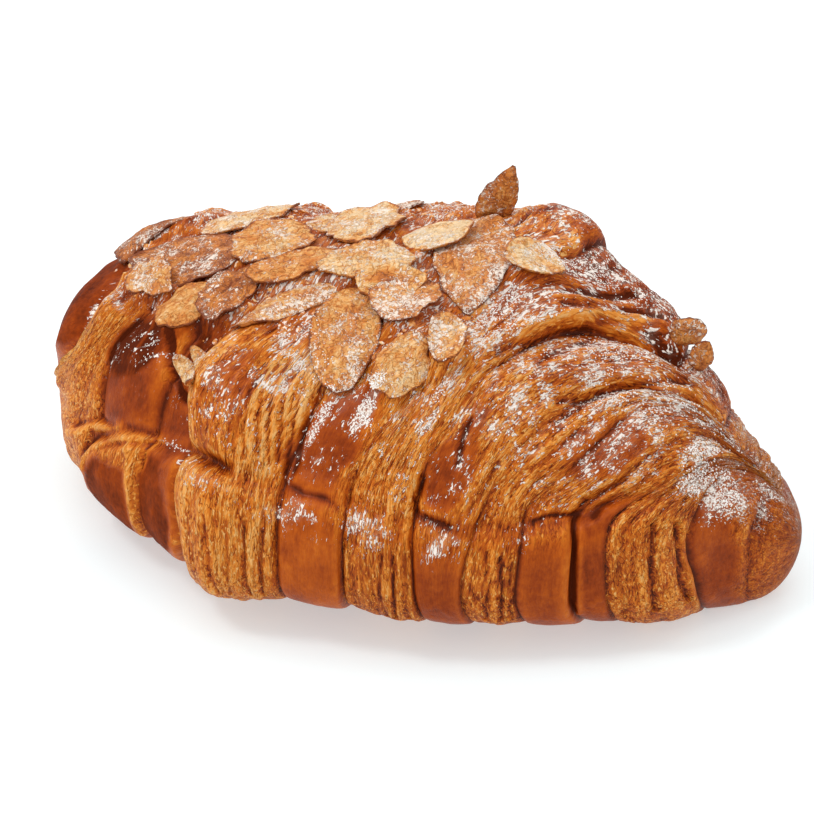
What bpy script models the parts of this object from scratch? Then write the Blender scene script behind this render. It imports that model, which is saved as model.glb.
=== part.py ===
"""Almond croissant: a rolled, baked loaf with its wraps in relief, and the toasted almond slices on its top.

Sizes are in millimetres here and become metres when a mesh is made. X runs along the loaf from the round
horn on the left to the blunt nose on the right, Y to the back, Z up. The loaf rests on z = 0.
"""
import math

import bmesh
import bpy
import numpy as np
from mathutils import Matrix, Vector
from mathutils.bvhtree import BVHTree

MM = 0.001

# ---- the loaf: sections across X -------------------------------------------------------------------------
LEFT, RIGHT = -75.6, 77.0  # x of the two tips
# x, front edge y, back edge y, crown y, crown height, height of the widest line
STATIONS = (
    (LEFT, 0, 22, 12, 34, 18),
    (-66, -8, 26, 12, 37, 17),
    (-55, -21, 33, 12, 45, 16),
    (-38, -33, 40, 12, 51, 15),
    (-20, -49, 43, 13, 55, 15),
    (0, -47, 43, 14, 56, 15),
    (22, -45, 42, 13, 60, 15),
    (40, -39, 32, 9, 47, 14),
    (55, -31, 20, 2, 39, 13),
    (66, -18, 12, -2, 28, 12),
    (RIGHT, -12, 6, -4, 22, 12),
)
HORN_CAP = 16.0  # length over which the left end rounds off
NOSE_CAP = 13.0
HORN_POLE = (15.0, 23.0)  # y and z of the tip of each end
NOSE_POLE = (-3.0, 11.0)
CROWN_POWER = 2.1  # superellipse powers of the upper and the lower half of a section
BELLY_POWER = 2.3
SIDE_POWER = 2.15
BELLY_DROP = 2.0  # the section reaches this far under the table, where it is cut flat
HORN_POWER, NOSE_POWER = 2.2, 2.4  # powers of the curves by which the ends close
HORN_FADE, NOSE_FADE = 12.0, 7.0  # the relief grows from nothing over this length at each end
UNDER_RELIEF = 0.3  # share of the relief on the underside

# ---- the wraps: each edge is a line round the loaf, x at these angles from the front (0) over the top (90) 
EDGE_ANGLES = (-90, -30, 0, 20, 40, 60, 75, 90, 135, 180, 225, 270)
EDGES = (
    (LEFT,) * len(EDGE_ANGLES),
    (-72, -72.5, -72.5, -69, -62, -57, -55, -54, -52, -55, -63, -72),
    (-57, -57, -55, -54, -53, -45, -41, -38, -36, -41, -48, -57),
    (-40, -40, -40, -39, -37, -32, -28, -25, -23, -28, -34, -40),
    (-31, -31, -30, -31, -33, -24, -17, -11, -7, -13, -22, -31),
    (-10, -9, -9, -9, -6, 3, 8, 13, 15, 9, -1, -10),
    (2, 2, 3, 3, 9, 16, 22, 30, 32, 24, 12, 2),
    (17, 17, 16, 15, 20, 29, 36, 52, 50, 42, 28, 17),
    (25, 25, 24, 27, 33, 41, 53, 62, 60, 52, 38, 25),
    (34, 34, 33, 34, 41, 48, 58, 66, 63, 57, 46, 34),
    (43, 43, 42, 42, 49, 56, 62, 69, 66, 61, 52, 43),
    (50, 49, 48, 47, 55, 61, 65, 71, 69, 65, 58, 50),
    (62, 62, 61, 59, 61, 64, 68, 73, 71.5, 69, 65, 62),
    (69, 69, 69, 69, 70, 71, 72.5, 75, 74, 72, 70, 69),
    (RIGHT,) * len(EDGE_ANGLES),
)
# step at the right edge of each wrap: over zero the left wrap lies on the right one, under zero the other way
STEPS = (-7.5, 1.4, 1.6, -4.2, 1.4, 1.6, 2.8, 1.6, 1.6, 2.6, 1.2, 1.8, 1.2)
# what each wrap shows (skin or the cut layers), its pillow height, its rows of the mesh and its grooves
SKIN, LAYERS = "skin", "layers"
WRAPS = (
    (SKIN, 3.0, 9, 0),
    (LAYERS, 1.0, 7, 2),
    (SKIN, 1.8, 8, 0),
    (SKIN, 0.8, 7, 0),
    (LAYERS, 1.6, 14, 5),
    (SKIN, 1.6, 8, 0),
    (LAYERS, 1.3, 10, 3),
    (SKIN, 1.4, 7, 0),
    (LAYERS, 1.2, 8, 2),
    (SKIN, 1.4, 7, 0),
    (SKIN, 1.0, 6, 0),
    (LAYERS, 1.3, 10, 3),
    (SKIN, 1.0, 7, 0),
    (SKIN, 0.5, 7, 0),
)
# height beside an edge, for the share of a wrap away from it, on the wrap on top and on the one below
LIP = ((0, -1), (0.05, 0.3), (0.13, 0.9), (0.22, 1), (0.4, 0.7), (0.75, 0))
TUCK = ((0, -1), (0.08, -0.85), (0.25, -0.4), (0.5, 0))
FULL_STEP_WIDTH = 11.0  # wraps narrower than this have lower relief
LEAST_STEP = 0.15  # but no less than this share of it
GROOVE_DEPTH = 0.8
PILLOW_POWER = 0.6  # under 1, so that a wrap is flat in its middle and round at its sides
LOW_STEPS = 0.25  # share of the steps that is left under the seam
SWELL = (0.5, 0.4)  # heights of the slow waves along and round the loaf

# ---- the seam: a fold along the front, where the upper roll overhangs the lower tier ---------------------
# x, angle of the seam, depth of its groove
SEAM = (
    (LEFT, 6, 0.0),
    (-64, 9, 0.4),
    (-53, 12, 1.8),
    (-35, 20, 2.0),
    (-25, 25, 3.4),
    (-15, 22, 2.0),
    (0, 20, 1.6),
    (15, 16, 1.6),
    (24, 15, 1.8),
    (35, 19, 1.4),
    (42, 24, 2.2),
    (48, 31, 2.4),
    (53, 35, 1.2),
    (58, 36, 0.2),
    (66, 28, 0.0),
    (RIGHT, 10, 0.0),
)
SEAM_WIDTH = 3.5  # degrees
SEAM_FULL = 1.5  # where the groove is this deep, the ledge and the setback are full
SEAM_USUAL = 20.0  # the angle near which it runs
TIER_LEDGE = 1.6  # the lower tier stands out by this much
TIER_SETBACK = 1.2  # and the upper roll stands back by this much
TIER_CREASE = 1.6  # depth of the creases between the bulges of the lower tier
CREASE_WIDTH = 0.13  # share of a wrap
TIER_PILLOW = 0.8  # its bulges stand out by this much more
TIER_LOW = 24.0  # degrees over which the ledge fades out below the seam
TIER_HIGH = 15.0

# the wrap deep between its neighbours over the seam, and how much deeper its middle lies
HOLLOW = (3, 2.2)

# ---- calmer relief: under the cream that holds the almonds, and round the top of the nose ----------------
# angles, x range, share of the relief taken away
CALM = (
    (50, 125, -60, 32, 0.7),
    (38, 150, 44, 100, 0.5),
    (100, 150, 22, 45, 0.4),
)

# ---- columns of the mesh round the loaf ------------------------------------------------------------------
BELLY_COLUMNS = (-90, -73, -58, -45, -36)
LOW_COLUMNS = (0.0, 0.18, 0.36, 0.53, 0.69, 0.83, 0.93)  # from LOW_ANGLE to the seam
HIGH_COLUMNS = (0.0, 0.05, 0.12, 0.2, 0.28, 0.36, 0.44, 0.52, 0.6, 0.68, 0.76, 0.84, 0.92)  # to the top
LOW_ANGLE, TOP_ANGLE = -28.0, 90.0
BACK_COLUMNS = (90, 96, 103, 110, 117, 124, 132, 140, 148, 156) + (
    164, 172, 180, 188, 196, 205, 215, 226, 238, 253
)

# ---- almond slices: name, x, y, length, width, heading from +X, bow, point, tone -------------------------
# bow lifts the middle, point draws the far end of the outline in; they are laid one after another
TOPPINGS = (
    ("almond_dusted_oval", -42, -1, 24, 15, -4, 1.2, 0.0, "dark"),
    ("almond_golden", -38, -14, 13, 11, 30, 0.8, 0.2, "golden"),
    ("almond_corner", -47, -5, 13, 9, -35, 0.8, 0.5, "pale"),
    ("almond_brown", -29, -13, 14, 10, 50, 1.0, 0.3, "dark"),
    ("almond_tan", -26, 1, 16, 13, 48, 1.0, 0.1, "golden"),
    ("almond_strip", -17, -18, 20, 8, 35, 0.8, 0.3, "golden"),
    ("almond_flat", -18, -8, 18, 9, 35, 0.8, 0.2, "golden"),
    ("almond_left_tip", -52, 12, 20, 9, 12, 1.2, 0.9, "dark"),
    ("almond_pale_ridge", -35, 13, 18, 11, 28, 1.2, 0.1, "pale"),
    ("almond_tip_top", -18, 13, 11, 8, 40, 1.0, 0.2, "golden"),
    ("almond_pale_up", -10, 8, 15, 15, 50, 1.2, 0.1, "pale"),
    ("almond_pale_down", -5, -6, 17, 10, 22, 1.0, 0.3, "pale"),
    ("almond_grey_top", -8, 20, 12, 7, 5, 1.4, 0.2, "dark"),
    ("almond_long_front", -4, -23, 23, 12.5, -92, 1.0, 0.0, "golden"),
    ("almond_mid", 5, -15, 12, 11, 38, 1.0, 0.1, "golden"),
    ("almond_pale_low", 8, -29, 13, 10, -100, 0.8, 0.3, "pale"),
    ("almond_round_low", 15, -23, 11, 7, -80, 0.8, 0.1, "pale"),
    ("almond_triangle", 14, -3, 31, 19, -80, 1.2, 1.0, "golden"),
    ("almond_pale_oval", 6, 4, 13, 10, 15, 1.0, 0.1, "pale"),
    ("almond_curl", 0, -11, 12, 6, 5, 1.8, 0.1, "golden"),
    ("almond_right_small", 24, -1, 11, 9, 25, 1.0, 0.2, "pale"),
    ("almond_sliver_left", -32.5, -23, 11, 4.5, -62, 0.4, 0.4, "golden"),
    ("almond_sliver_right", -28.5, -21, 8, 4, -62, 0.4, 0.3, "golden"),
)
# slices that stand on an end: name, x, y, height, width, lean to the right, cup of the width, point
STANDING = (
    ("almond_standing", 11.5, 15, 12, 8, 0.45, 0.05, 0.9),
    ("almond_back_lobe", 52, 5, 5.5, 7, 0.15, 0.06, 0.0),
    ("almond_back_flake", 55, 3, 6, 4.5, 0.2, 0.05, 0.2),
)
STANDING_TURN = 20.0  # degrees by which their faces turn from the front
SLICE_THICK = 0.9
SLICE_SIDES = 16
SLICE_INNER = 0.55  # radius of the ring between the middle and the rim
SLICE_GAP = 0.4
SLICE_BOW = 0.3  # share of its bow that is in the slice over the sheet that it lies on
SLICE_TAPER = 0.75
SLICE_UNEVEN = (0.06, 0.03)
PROBES = (0, 0.3, 0.55, 0.78, 1, 1.04)  # shares of the rim at which a slice feels for what is under it
FRAME_REACH = 5.0  # the crust's slope is read over this distance
ABOVE = 100.0  # a height over everything
NEAR = 20.0  # a height over what lies round a slice
DOWN = Vector((0, 0, -1))
MOST_TIP = 0.15  # a slice tips no steeper than this against the crust, as rise over run
TONES = {
    "pale": (0.80, 0.58, 0.34),
    "golden": (0.66, 0.37, 0.14),
    "dark": (0.36, 0.17, 0.08),
}
CRUST_COLOUR = (0.50, 0.19, 0.045)


def clear_scene():
    """Remove whatever the file came with."""
    for thing in list(bpy.data.objects):
        bpy.data.objects.remove(thing, do_unlink=True)


def through(x, xs, ys):
    """Monotone cubic curve through the points (xs, ys), held level beyond its ends."""
    xs = np.asarray(xs, float)
    ys = np.asarray(ys, float)
    gaps = np.diff(xs)
    slopes = np.diff(ys) / gaps
    tangents = np.concatenate([slopes[:1], np.zeros(len(xs) - 2), slopes[-1:]])
    for i in range(1, len(xs) - 1):
        if slopes[i - 1] * slopes[i] > 0:
            before = 2 * gaps[i] + gaps[i - 1]
            after = gaps[i] + 2 * gaps[i - 1]
            tangents[i] = (before + after) / (before / slopes[i - 1] + after / slopes[i])
    x = np.clip(x, xs[0], xs[-1])
    i = np.clip(np.searchsorted(xs, x) - 1, 0, len(gaps) - 1)
    t = (x - xs[i]) / gaps[i]
    rise = ys[i] * (1 + 2 * t) * (1 - t) ** 2 + ys[i + 1] * t * t * (3 - 2 * t)
    return rise + gaps[i] * (tangents[i] * t * (1 - t) ** 2 - tangents[i + 1] * t * t * (1 - t))


def ramp(value, low, high):
    """0 at low, 1 at high, smooth between them."""
    t = np.clip((value - low) / (high - low), 0, 1)
    return t * t * (3 - 2 * t)


def section(x):
    """Front edge, back edge, crown, crown height and height of the widest line at x."""
    table = np.array(STATIONS, float)
    return [through(x, table[:, 0], table[:, i]) for i in range(1, 6)]


def loaf(x, angle):
    """Points of the smooth loaf, before any relief, for x and an angle in degrees round it."""
    front, back, crown, top, wide = section(x)
    cos, sin = np.cos(np.radians(angle)), np.sin(np.radians(angle))
    y = np.where(cos > 0, front - crown, back - crown) * np.abs(cos) ** (2 / SIDE_POWER)
    upper = (top - wide) * np.abs(sin) ** (2 / CROWN_POWER)
    lower = -(wide + BELLY_DROP) * np.abs(sin) ** (2 / BELLY_POWER)
    z = np.where(sin > 0, upper, lower)
    into_horn = np.clip((LEFT + HORN_CAP - x) / HORN_CAP, 0, 1)
    into_nose = np.clip((x - RIGHT + NOSE_CAP) / NOSE_CAP, 0, 1)
    horn = np.sqrt(np.maximum(0, 1 - into_horn**HORN_POWER))
    nose = np.sqrt(np.maximum(0, 1 - into_nose**NOSE_POWER))
    mid_y = crown + (HORN_POLE[0] - crown) * (1 - horn) + (NOSE_POLE[0] - crown) * (1 - nose)
    mid_z = wide + (HORN_POLE[1] - wide) * (1 - horn) + (NOSE_POLE[1] - wide) * (1 - nose)
    return np.stack([x + 0 * angle, mid_y + y * horn * nose, mid_z + z * horn * nose], -1)


def outward(x, angle):
    """Unit normals of the smooth loaf."""
    inner = np.clip(x, LEFT + 0.4, RIGHT - 0.4)
    along = loaf(inner + 0.3, angle) - loaf(inner - 0.3, angle)
    around = loaf(inner, angle + 0.5) - loaf(inner, angle - 0.5)
    normal = np.cross(along, around)
    return normal / (np.linalg.norm(normal, axis=-1, keepdims=True) + 1e-9)


def edge_x(number, angle):
    """x of an edge between two wraps, at an angle."""
    turned = (np.asarray(angle, float) + 90) % 360 - 90
    return through(turned, EDGE_ANGLES, EDGES[number])


def seam_at(x):
    """Angle of the seam and depth of its groove at x."""
    table = np.array(SEAM, float)
    return through(x, table[:, 0], table[:, 1]), through(x, table[:, 0], table[:, 2])


def step_profile(distance, step):
    """Height beside an edge, for the share of a wrap right (over 0) or left of it, and the edge's step."""
    on_top = (distance < 0) == (step > 0)
    curve = LIP if on_top else TUCK
    return abs(step) / 2 * through(abs(distance), *zip(*curve))


def across(number, share, angle):
    """x at a share of the way across a wrap, and the wrap's width there."""
    width = edge_x(number + 1, angle) - edge_x(number, angle)
    return edge_x(number, angle) + width * share, width


def wrap_relief(number, share, angle):
    """Height of a wrap's surface over the smooth loaf, for the share of the way across it."""
    kind, pillow, _, grooves = WRAPS[number]
    x, width = across(number, share, angle)
    bulge = (4 * share * (1 - share)) ** PILLOW_POWER
    upper = np.where(angle < TOP_ANGLE, ramp(angle - seam_at(x)[0], -4, 8), 1)
    height = pillow * bulge
    if kind == LAYERS:
        height = height - GROOVE_DEPTH / 2 * (1 - np.cos(2 * math.pi * grooves * share)) * ramp(width, 2, 9)
    if number == HOLLOW[0]:
        height = height - HOLLOW[1] * upper * bulge
    steps, creases = 0, 0
    if number > 0:
        steps = steps + step_profile(share, STEPS[number - 1])
        creases = creases + math.exp(-((share / CREASE_WIDTH) ** 2))
    if number < len(STEPS):
        steps = steps + step_profile(share - 1 - 1e-6, STEPS[number])
        creases = creases + math.exp(-(((1 - share) / CREASE_WIDTH) ** 2))
    height = height + steps * (LOW_STEPS + (1 - LOW_STEPS) * upper)
    height = height + (TIER_PILLOW * bulge - TIER_CREASE * creases) * (1 - upper)
    return height * np.clip(width / FULL_STEP_WIDTH, LEAST_STEP, 1)


def seam_relief(x, angle):
    """The groove of the seam, the ledge under it and the setback over it."""
    seam, depth = seam_at(x)
    away = angle - seam
    strength = np.clip(depth / SEAM_FULL, 0, 1)
    groove = -depth * np.exp(-((away / SEAM_WIDTH) ** 2))
    ledge = TIER_LEDGE * ramp(-away, 0, 5) * np.exp(-((away / TIER_LOW) ** 2))
    setback = -TIER_SETBACK * ramp(away, 0, 5) * np.exp(-((away / TIER_HIGH) ** 2))
    near = (angle > -90) & (angle < 90)
    return np.where(near, groove + strength * (ledge + setback), 0)


def calmed(x, angle):
    """Share of the relief that is left at x and an angle."""
    left_over = 1
    for low, high, left, right, taken in CALM:
        around = ramp(angle, low, low + 12) * ramp(-angle, -high, 15 - high)
        left_over = left_over * (1 - taken * around * ramp(x, left, left + 10) * ramp(-x, -right, 10 - right))
    return left_over


def swell(x, angle):
    """The slow unevenness of a baked roll."""
    turn = np.radians(angle)
    along, around = SWELL
    return along * np.sin(x / 7.3 + 1.3 * np.sin(turn)) + around * np.sin(3 * turn + x / 11)


def crust(number, share, angle):
    """Points of the crust on wrap number, a share of the way across it, at an angle."""
    x, _ = across(number, share, angle)
    ends = ramp(x, LEFT, LEFT + HORN_FADE) * ramp(-x, -RIGHT, NOSE_FADE - RIGHT)
    height = wrap_relief(number, share, angle) * calmed(x, angle) + seam_relief(x, angle) + swell(x, angle)
    base = loaf(x, angle)
    under = UNDER_RELIEF + (1 - UNDER_RELIEF) * ramp(base[..., 2], -2, 10)
    points = base + outward(x, angle) * (height * ends * under)[..., None]
    points[..., 2] = np.maximum(points[..., 2], 0)
    return points


def row_shares():
    """Wrap number and share of the way across it, for each row of the mesh between the two tips."""
    rows = []
    for number, (kind, _, count, _) in enumerate(WRAPS):
        steps = np.arange(count) / count
        if number == 0:
            steps = ((np.arange(count) + 0.6) / count) ** 1.7
        elif number == len(WRAPS) - 1:
            steps = 1 - ((np.arange(count, 0, -1) - 0.4) / count) ** 1.7
        elif kind == SKIN:
            inner = 0.5 - 0.5 * np.cos(math.pi * np.linspace(0, 1, count))
            steps = np.concatenate([[0], 0.05 + 0.9 * inner[:-1] ** 0.95])
        rows += [(number, share) for share in steps]
    return rows


def column_angles(x):
    """Angles of the mesh's columns for the seam's place at x."""
    seam = seam_at(x)[0]
    low = [LOW_ANGLE + (seam - LOW_ANGLE) * share for share in LOW_COLUMNS]
    high = [seam + (TOP_ANGLE - seam) * share for share in HIGH_COLUMNS]
    return np.array([*BELLY_COLUMNS, *low, *high, *BACK_COLUMNS], float)


def grid_place(vert, rows, columns):
    """Row and column of a sphere's vertex: row 0 and the last row are its poles."""
    x, y, z = vert.co
    row = round(math.acos(max(-1, min(1, z))) / math.pi * rows)
    column = round(math.atan2(y, x) / (2 * math.pi) * columns) % columns
    return row, column


def closed_triangles(mesh):
    """Triangles in place of the mesh's faces, all of them facing out."""
    bmesh.ops.triangulate(mesh, faces=mesh.faces, quad_method="SHORT_EDGE")
    if mesh.calc_volume(signed=True) < 0:
        bmesh.ops.reverse_faces(mesh, faces=mesh.faces)
    return mesh


def crust_mesh():
    """The whole crust as a sphere's mesh, each row of which is laid along a line of the wraps."""
    shares = row_shares()
    columns = len(column_angles(0))
    rows = len(shares) + 1
    lines = []
    for number, share in shares:
        x, _ = across(number, share, SEAM_USUAL)
        lines.append(crust(number, share, column_angles(float(x))))
    mesh = bmesh.new()
    bmesh.ops.create_uvsphere(mesh, u_segments=columns, v_segments=rows, radius=1)
    for vert in mesh.verts:
        row, column = grid_place(vert, rows, columns)
        if row == 0:
            place = (LEFT, *HORN_POLE)
        elif row == rows:
            place = (RIGHT, *NOSE_POLE)
        else:
            place = lines[row - 1][column]
        vert.co = Vector(place) * MM
    return closed_triangles(mesh)


def finish(mesh, name, colour, roughness):
    """Make a named object of a bmesh, smooth but for its sharp folds, in its own material."""
    data = bpy.data.meshes.new(name)
    mesh.to_mesh(data)
    mesh.free()
    data.shade_smooth()
    data.set_sharp_from_angle(angle=math.radians(40))
    material = bpy.data.materials.new(name)
    material.use_nodes = True
    shader = material.node_tree.nodes["Principled BSDF"]
    shader.inputs["Base Color"].default_value = (*colour, 1)
    shader.inputs["Roughness"].default_value = roughness
    shader.inputs["Metallic"].default_value = 0
    data.materials.append(material)
    thing = bpy.data.objects.new(name, data)
    bpy.context.scene.collection.objects.link(thing)
    return thing


def outline(angle, length, width, point, seed):
    """A slice's rim at an angle: an egg shape, drawn in at its far end and a little uneven."""
    along, across = math.cos(angle), math.sin(angle)
    taper = 1 - SLICE_TAPER * point * (0.5 + 0.5 * along) ** 1.5
    large, small = SLICE_UNEVEN
    uneven = 1 + large * math.sin(3 * angle + seed) + small * math.sin(5 * angle + 2 * seed)
    return Vector((along * length / 2, across * width / 2 * taper, 0)) * uneven


def ground_under(trees, spot, down):
    """Where a line dropped onto the crust and the slices already laid first meets them."""
    hits = [tree.ray_cast(spot, down) for tree in trees]
    hits = [hit for hit in hits if hit[0] is not None]
    return min(hits, key=lambda hit: hit[3]) if hits else None


def slice_frame(tree, x, y, heading):
    """Centre on the crust under (x, y), with the axes along, across and out of the slice there."""
    spots = []
    for dx, dy in ((0, 0), (1, 0), (-1, 0), (0, 1), (0, -1)):
        spot = Vector((x + dx * FRAME_REACH, y + dy * FRAME_REACH, ABOVE)) * MM
        spots.append(tree.ray_cast(spot, DOWN)[0])
    out = (spots[1] - spots[2]).cross(spots[3] - spots[4]).normalized()
    turn = math.radians(heading)
    along = Vector((math.cos(turn), math.sin(turn), 0))
    along = (along - out * along.dot(out)).normalized()
    return spots[0], along, out.cross(along), out


def heights_under(trees, frame, places):
    """Height, in the slice's frame, of what lies under each of its places."""
    centre, along, across, out = frame
    heights = []
    for place in places:
        spot = centre + along * place.x * MM + across * place.y * MM
        hit = ground_under(trees, spot + out * NEAR * MM, -out)
        heights.append((hit[0] - centre).dot(out) / MM)
    return np.array(heights)


def resting_surface(trees, frame, places):
    """A bent sheet, curved as the crust is and tipped until it lies on all that is under it from above."""
    terms = np.array([(1, spot.x, spot.y, spot.x**2, spot.x * spot.y, spot.y**2) for spot in places])
    crust_only = heights_under(trees[:1], frame, places)
    bend = np.linalg.lstsq(terms, crust_only, rcond=None)[0]
    over = heights_under(trees, frame, places) - terms @ bend
    tip = np.linalg.lstsq(terms[:, :3], over, rcond=None)[0]
    slope = math.hypot(tip[1], tip[2])
    tip[1:] *= min(1, MOST_TIP / max(slope, MOST_TIP))
    bend[:3] += tip
    bend[0] += float(np.max(over - terms[:, :3] @ tip)) + SLICE_GAP
    return bend


def sheet_height(bend, place):
    """Height of the bent sheet at a place of the slice."""
    return float(np.dot(bend, (1, place.x, place.y, place.x**2, place.x * place.y, place.y**2)))


def slice_mesh(frame, bend, rim, bow):
    """A thin slice: two like faces of a middle and two rings, joined by its rim."""
    centre, along, across, out = frame
    levels = 5  # middle, inner ring, rim, rim, inner ring, middle
    mesh = bmesh.new()
    bmesh.ops.create_uvsphere(mesh, u_segments=SLICE_SIDES, v_segments=levels, radius=1)
    for vert in mesh.verts:
        row, column = grid_place(vert, levels, SLICE_SIDES)
        radius = (0, SLICE_INNER, 1, 1, SLICE_INNER, 0)[row]
        place = rim[column] * radius
        height = sheet_height(bend, place) + bow * SLICE_BOW * (1 - radius**2)
        height += SLICE_THICK if row < 3 else 0
        vert.co = centre + (along * place.x + across * place.y + out * height) * MM
    return closed_triangles(mesh)


def lay_slice(trees, seed, name, x, y, length, width, heading, bow, point, tone):
    """Lay one slice on the crust and on the slices before it."""
    frame = slice_frame(trees[0], x, y, heading)
    turns = [2 * math.pi * i / SLICE_SIDES for i in range(SLICE_SIDES)]
    rim = [outline(turn, length, width, point, seed) for turn in turns]
    places = [spot * share for spot in rim for share in PROBES]
    bend = resting_surface(trees, frame, places)
    mesh = slice_mesh(frame, bend, rim, bow)
    trees.append(BVHTree.FromBMesh(mesh))
    return finish(mesh, name, TONES[tone], 0.6)


def stand_slice(trees, seed, name, x, y, length, width, lean, cup, point):
    """Stand one slice on its end, cupped and leaning, just clear of the crust."""
    foot = slice_frame(trees[0], x, y, 0)[0]
    turn = math.radians(STANDING_TURN)
    along = Vector((lean, 0, 1)).normalized()
    out = Vector((math.sin(turn), -math.cos(turn), 0))
    out = (out - along * out.dot(along)).normalized()
    centre = foot + along * length / 2 * MM
    turns = [2 * math.pi * i / SLICE_SIDES for i in range(SLICE_SIDES)]
    rim = [outline(angle, length, width, point, seed) for angle in turns]
    frame = (centre, along, out.cross(along), out)
    mesh = slice_mesh(frame, (0, 0, 0, 0, 0, -cup), rim, 0)
    lift = 0
    for vert in mesh.verts:
        hit = ground_under(trees, vert.co - DOWN * NEAR * MM, DOWN)
        lift = max(lift, hit[0].z + SLICE_GAP * MM - vert.co.z)
    bmesh.ops.translate(mesh, verts=mesh.verts, vec=(0, 0, lift))
    trees.append(BVHTree.FromBMesh(mesh))
    return finish(mesh, name, TONES["golden"], 0.6)


def centre_on_origin(things):
    """Move all the pieces alike, so that the middle of their footprint is the origin."""
    corners = np.array([vert.co for thing in things for vert in thing.data.vertices])
    low, high = corners.min(axis=0), corners.max(axis=0)
    middle = (low + high) / 2
    for thing in things:
        thing.data.transform(Matrix.Translation((-middle[0], -middle[1], -low[2])))


def build():
    """The crust, then the slices in the order in which they lie on one another."""
    clear_scene()
    mesh = crust_mesh()
    trees = [BVHTree.FromBMesh(mesh)]
    things = [finish(mesh, "croissant", CRUST_COLOUR, 0.45)]
    for seed, topping in enumerate(TOPPINGS):
        things.append(lay_slice(trees, seed, *topping))
    for seed, topping in enumerate(STANDING):
        things.append(stand_slice(trees, seed, *topping))
    centre_on_origin(things)


build()
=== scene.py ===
# %% [markdown]
# # An almond croissant, dressed over its solid model
# The solid model is a rolled loaf with its wraps in relief and 26 almond slices on it. This lesson lays
# a much finer crust over the same loaf, gives every slice a ragged, toasted skin, and adds what is too
# small for solids: crumbs of baked almond cream and icing sugar. Lengths on the croissant are typed in
# millimetres, because that is how a baker would measure it, and become metres in the meshes.

# %% Load the solid model
import itertools
import math

import bmesh
import bpy
import numpy as np
from mathutils import Euler, Matrix, Vector
from mathutils.bvhtree import BVHTree


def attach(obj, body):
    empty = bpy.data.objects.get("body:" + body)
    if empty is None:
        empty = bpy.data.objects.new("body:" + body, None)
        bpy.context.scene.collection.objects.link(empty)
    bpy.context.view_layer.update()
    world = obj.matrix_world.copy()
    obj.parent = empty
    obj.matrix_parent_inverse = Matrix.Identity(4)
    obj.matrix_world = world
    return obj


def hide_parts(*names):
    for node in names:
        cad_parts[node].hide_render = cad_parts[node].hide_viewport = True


MM = 0.001
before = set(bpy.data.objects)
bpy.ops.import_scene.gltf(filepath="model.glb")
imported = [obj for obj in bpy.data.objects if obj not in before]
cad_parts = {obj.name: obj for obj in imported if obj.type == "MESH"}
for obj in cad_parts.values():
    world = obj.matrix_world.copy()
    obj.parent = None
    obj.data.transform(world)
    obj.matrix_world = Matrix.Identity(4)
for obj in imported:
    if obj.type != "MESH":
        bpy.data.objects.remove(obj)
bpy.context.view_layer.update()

# %% [markdown]
# ## The camera
# The photograph looks down at the loaf from its front, turned a little to the right, through a long
# lens: opposite edges stay nearly parallel. A camera's own axes are its right, its up and its back, so
# three unit vectors worked out from two angles make its matrix, and nothing needs a tracking constraint.

# %% Camera
AZIMUTH, ELEVATION = math.radians(17), math.radians(28)
TARGET = Vector((0.4, 0.0, 26.5)) * MM
DISTANCE = 0.6  # metres
LENS, SENSOR = 141.23, 36
scene = bpy.context.scene


def placed(name, data):
    """A new object of the scene."""
    thing = bpy.data.objects.new(name, data)
    scene.collection.objects.link(thing)
    return thing


backward = Vector((
    math.sin(AZIMUTH) * math.cos(ELEVATION),
    -math.cos(AZIMUTH) * math.cos(ELEVATION),
    math.sin(ELEVATION),
))
rightward = Vector((math.cos(AZIMUTH), math.sin(AZIMUTH), 0))
upward = backward.cross(rightward)
camera_data = bpy.data.cameras.new("camera")
camera_data.lens, camera_data.sensor_width = LENS, SENSOR
camera = placed("camera", camera_data)
turned = Matrix((rightward, upward, backward)).transposed().to_4x4()
camera.matrix_world = Matrix.Translation(TARGET + backward * DISTANCE) @ turned
bpy.context.scene.camera = camera
print("camera at", [round(v, 3) for v in camera.matrix_world.translation])

# %% [markdown]
# ## The studio
# Food is photographed on white paper in a white tent: light comes from everywhere, the paper burns out
# to pure white, and only a tight shadow under the loaf stays. A bright white world is the tent. A wide
# lamp overhead and a small one high on the left give the glaze its highlights, and a third, behind the
# loaf, wakes up the relief. The studio is measured in metres.

# %% Floor, world and lamps
TENT_LIGHT = 0.84
FLOOR_HALF, FLOOR_DROP = 4.0, 0.05 * MM
scene.view_settings.view_transform = "Standard"
world = bpy.data.worlds.new("white tent")
world.use_nodes = True
world.node_tree.nodes["Background"].inputs["Color"].default_value = (1, 1, 1, 1)
world.node_tree.nodes["Background"].inputs["Strength"].default_value = TENT_LIGHT
scene.world = world


def lamp(name, place, size, watts):
    """A square area lamp that shines on the loaf."""
    data = bpy.data.lights.new(name, "AREA")
    data.size, data.energy = size, watts
    thing = placed(name, data)
    thing.location = place
    thing.rotation_mode = "QUATERNION"
    thing.rotation_quaternion = (TARGET - Vector(place)).to_track_quat("-Z", "Y")


def as_mesh(mesh, name):
    """A bmesh as a mesh that objects can use."""
    data = bpy.data.meshes.new(name)
    mesh.to_mesh(data)
    mesh.free()
    return data


lamp("top lamp", (-0.10, 0.10, 1.20), 1.1, 3.6)
lamp("key lamp", (-0.45, -0.30, 0.85), 0.22, 2.3)
lamp("rim lamp", (0.15, 0.75, 0.60), 0.25, 0.8)

floor_mesh = bmesh.new()
bmesh.ops.create_grid(floor_mesh, x_segments=2, y_segments=2, size=FLOOR_HALF)
bmesh.ops.translate(floor_mesh, verts=floor_mesh.verts, vec=(0, 0, -FLOOR_DROP))
floor_data = as_mesh(floor_mesh, "floor")
floor = placed("floor", floor_data)
print("floor and three lamps are up")

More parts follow.
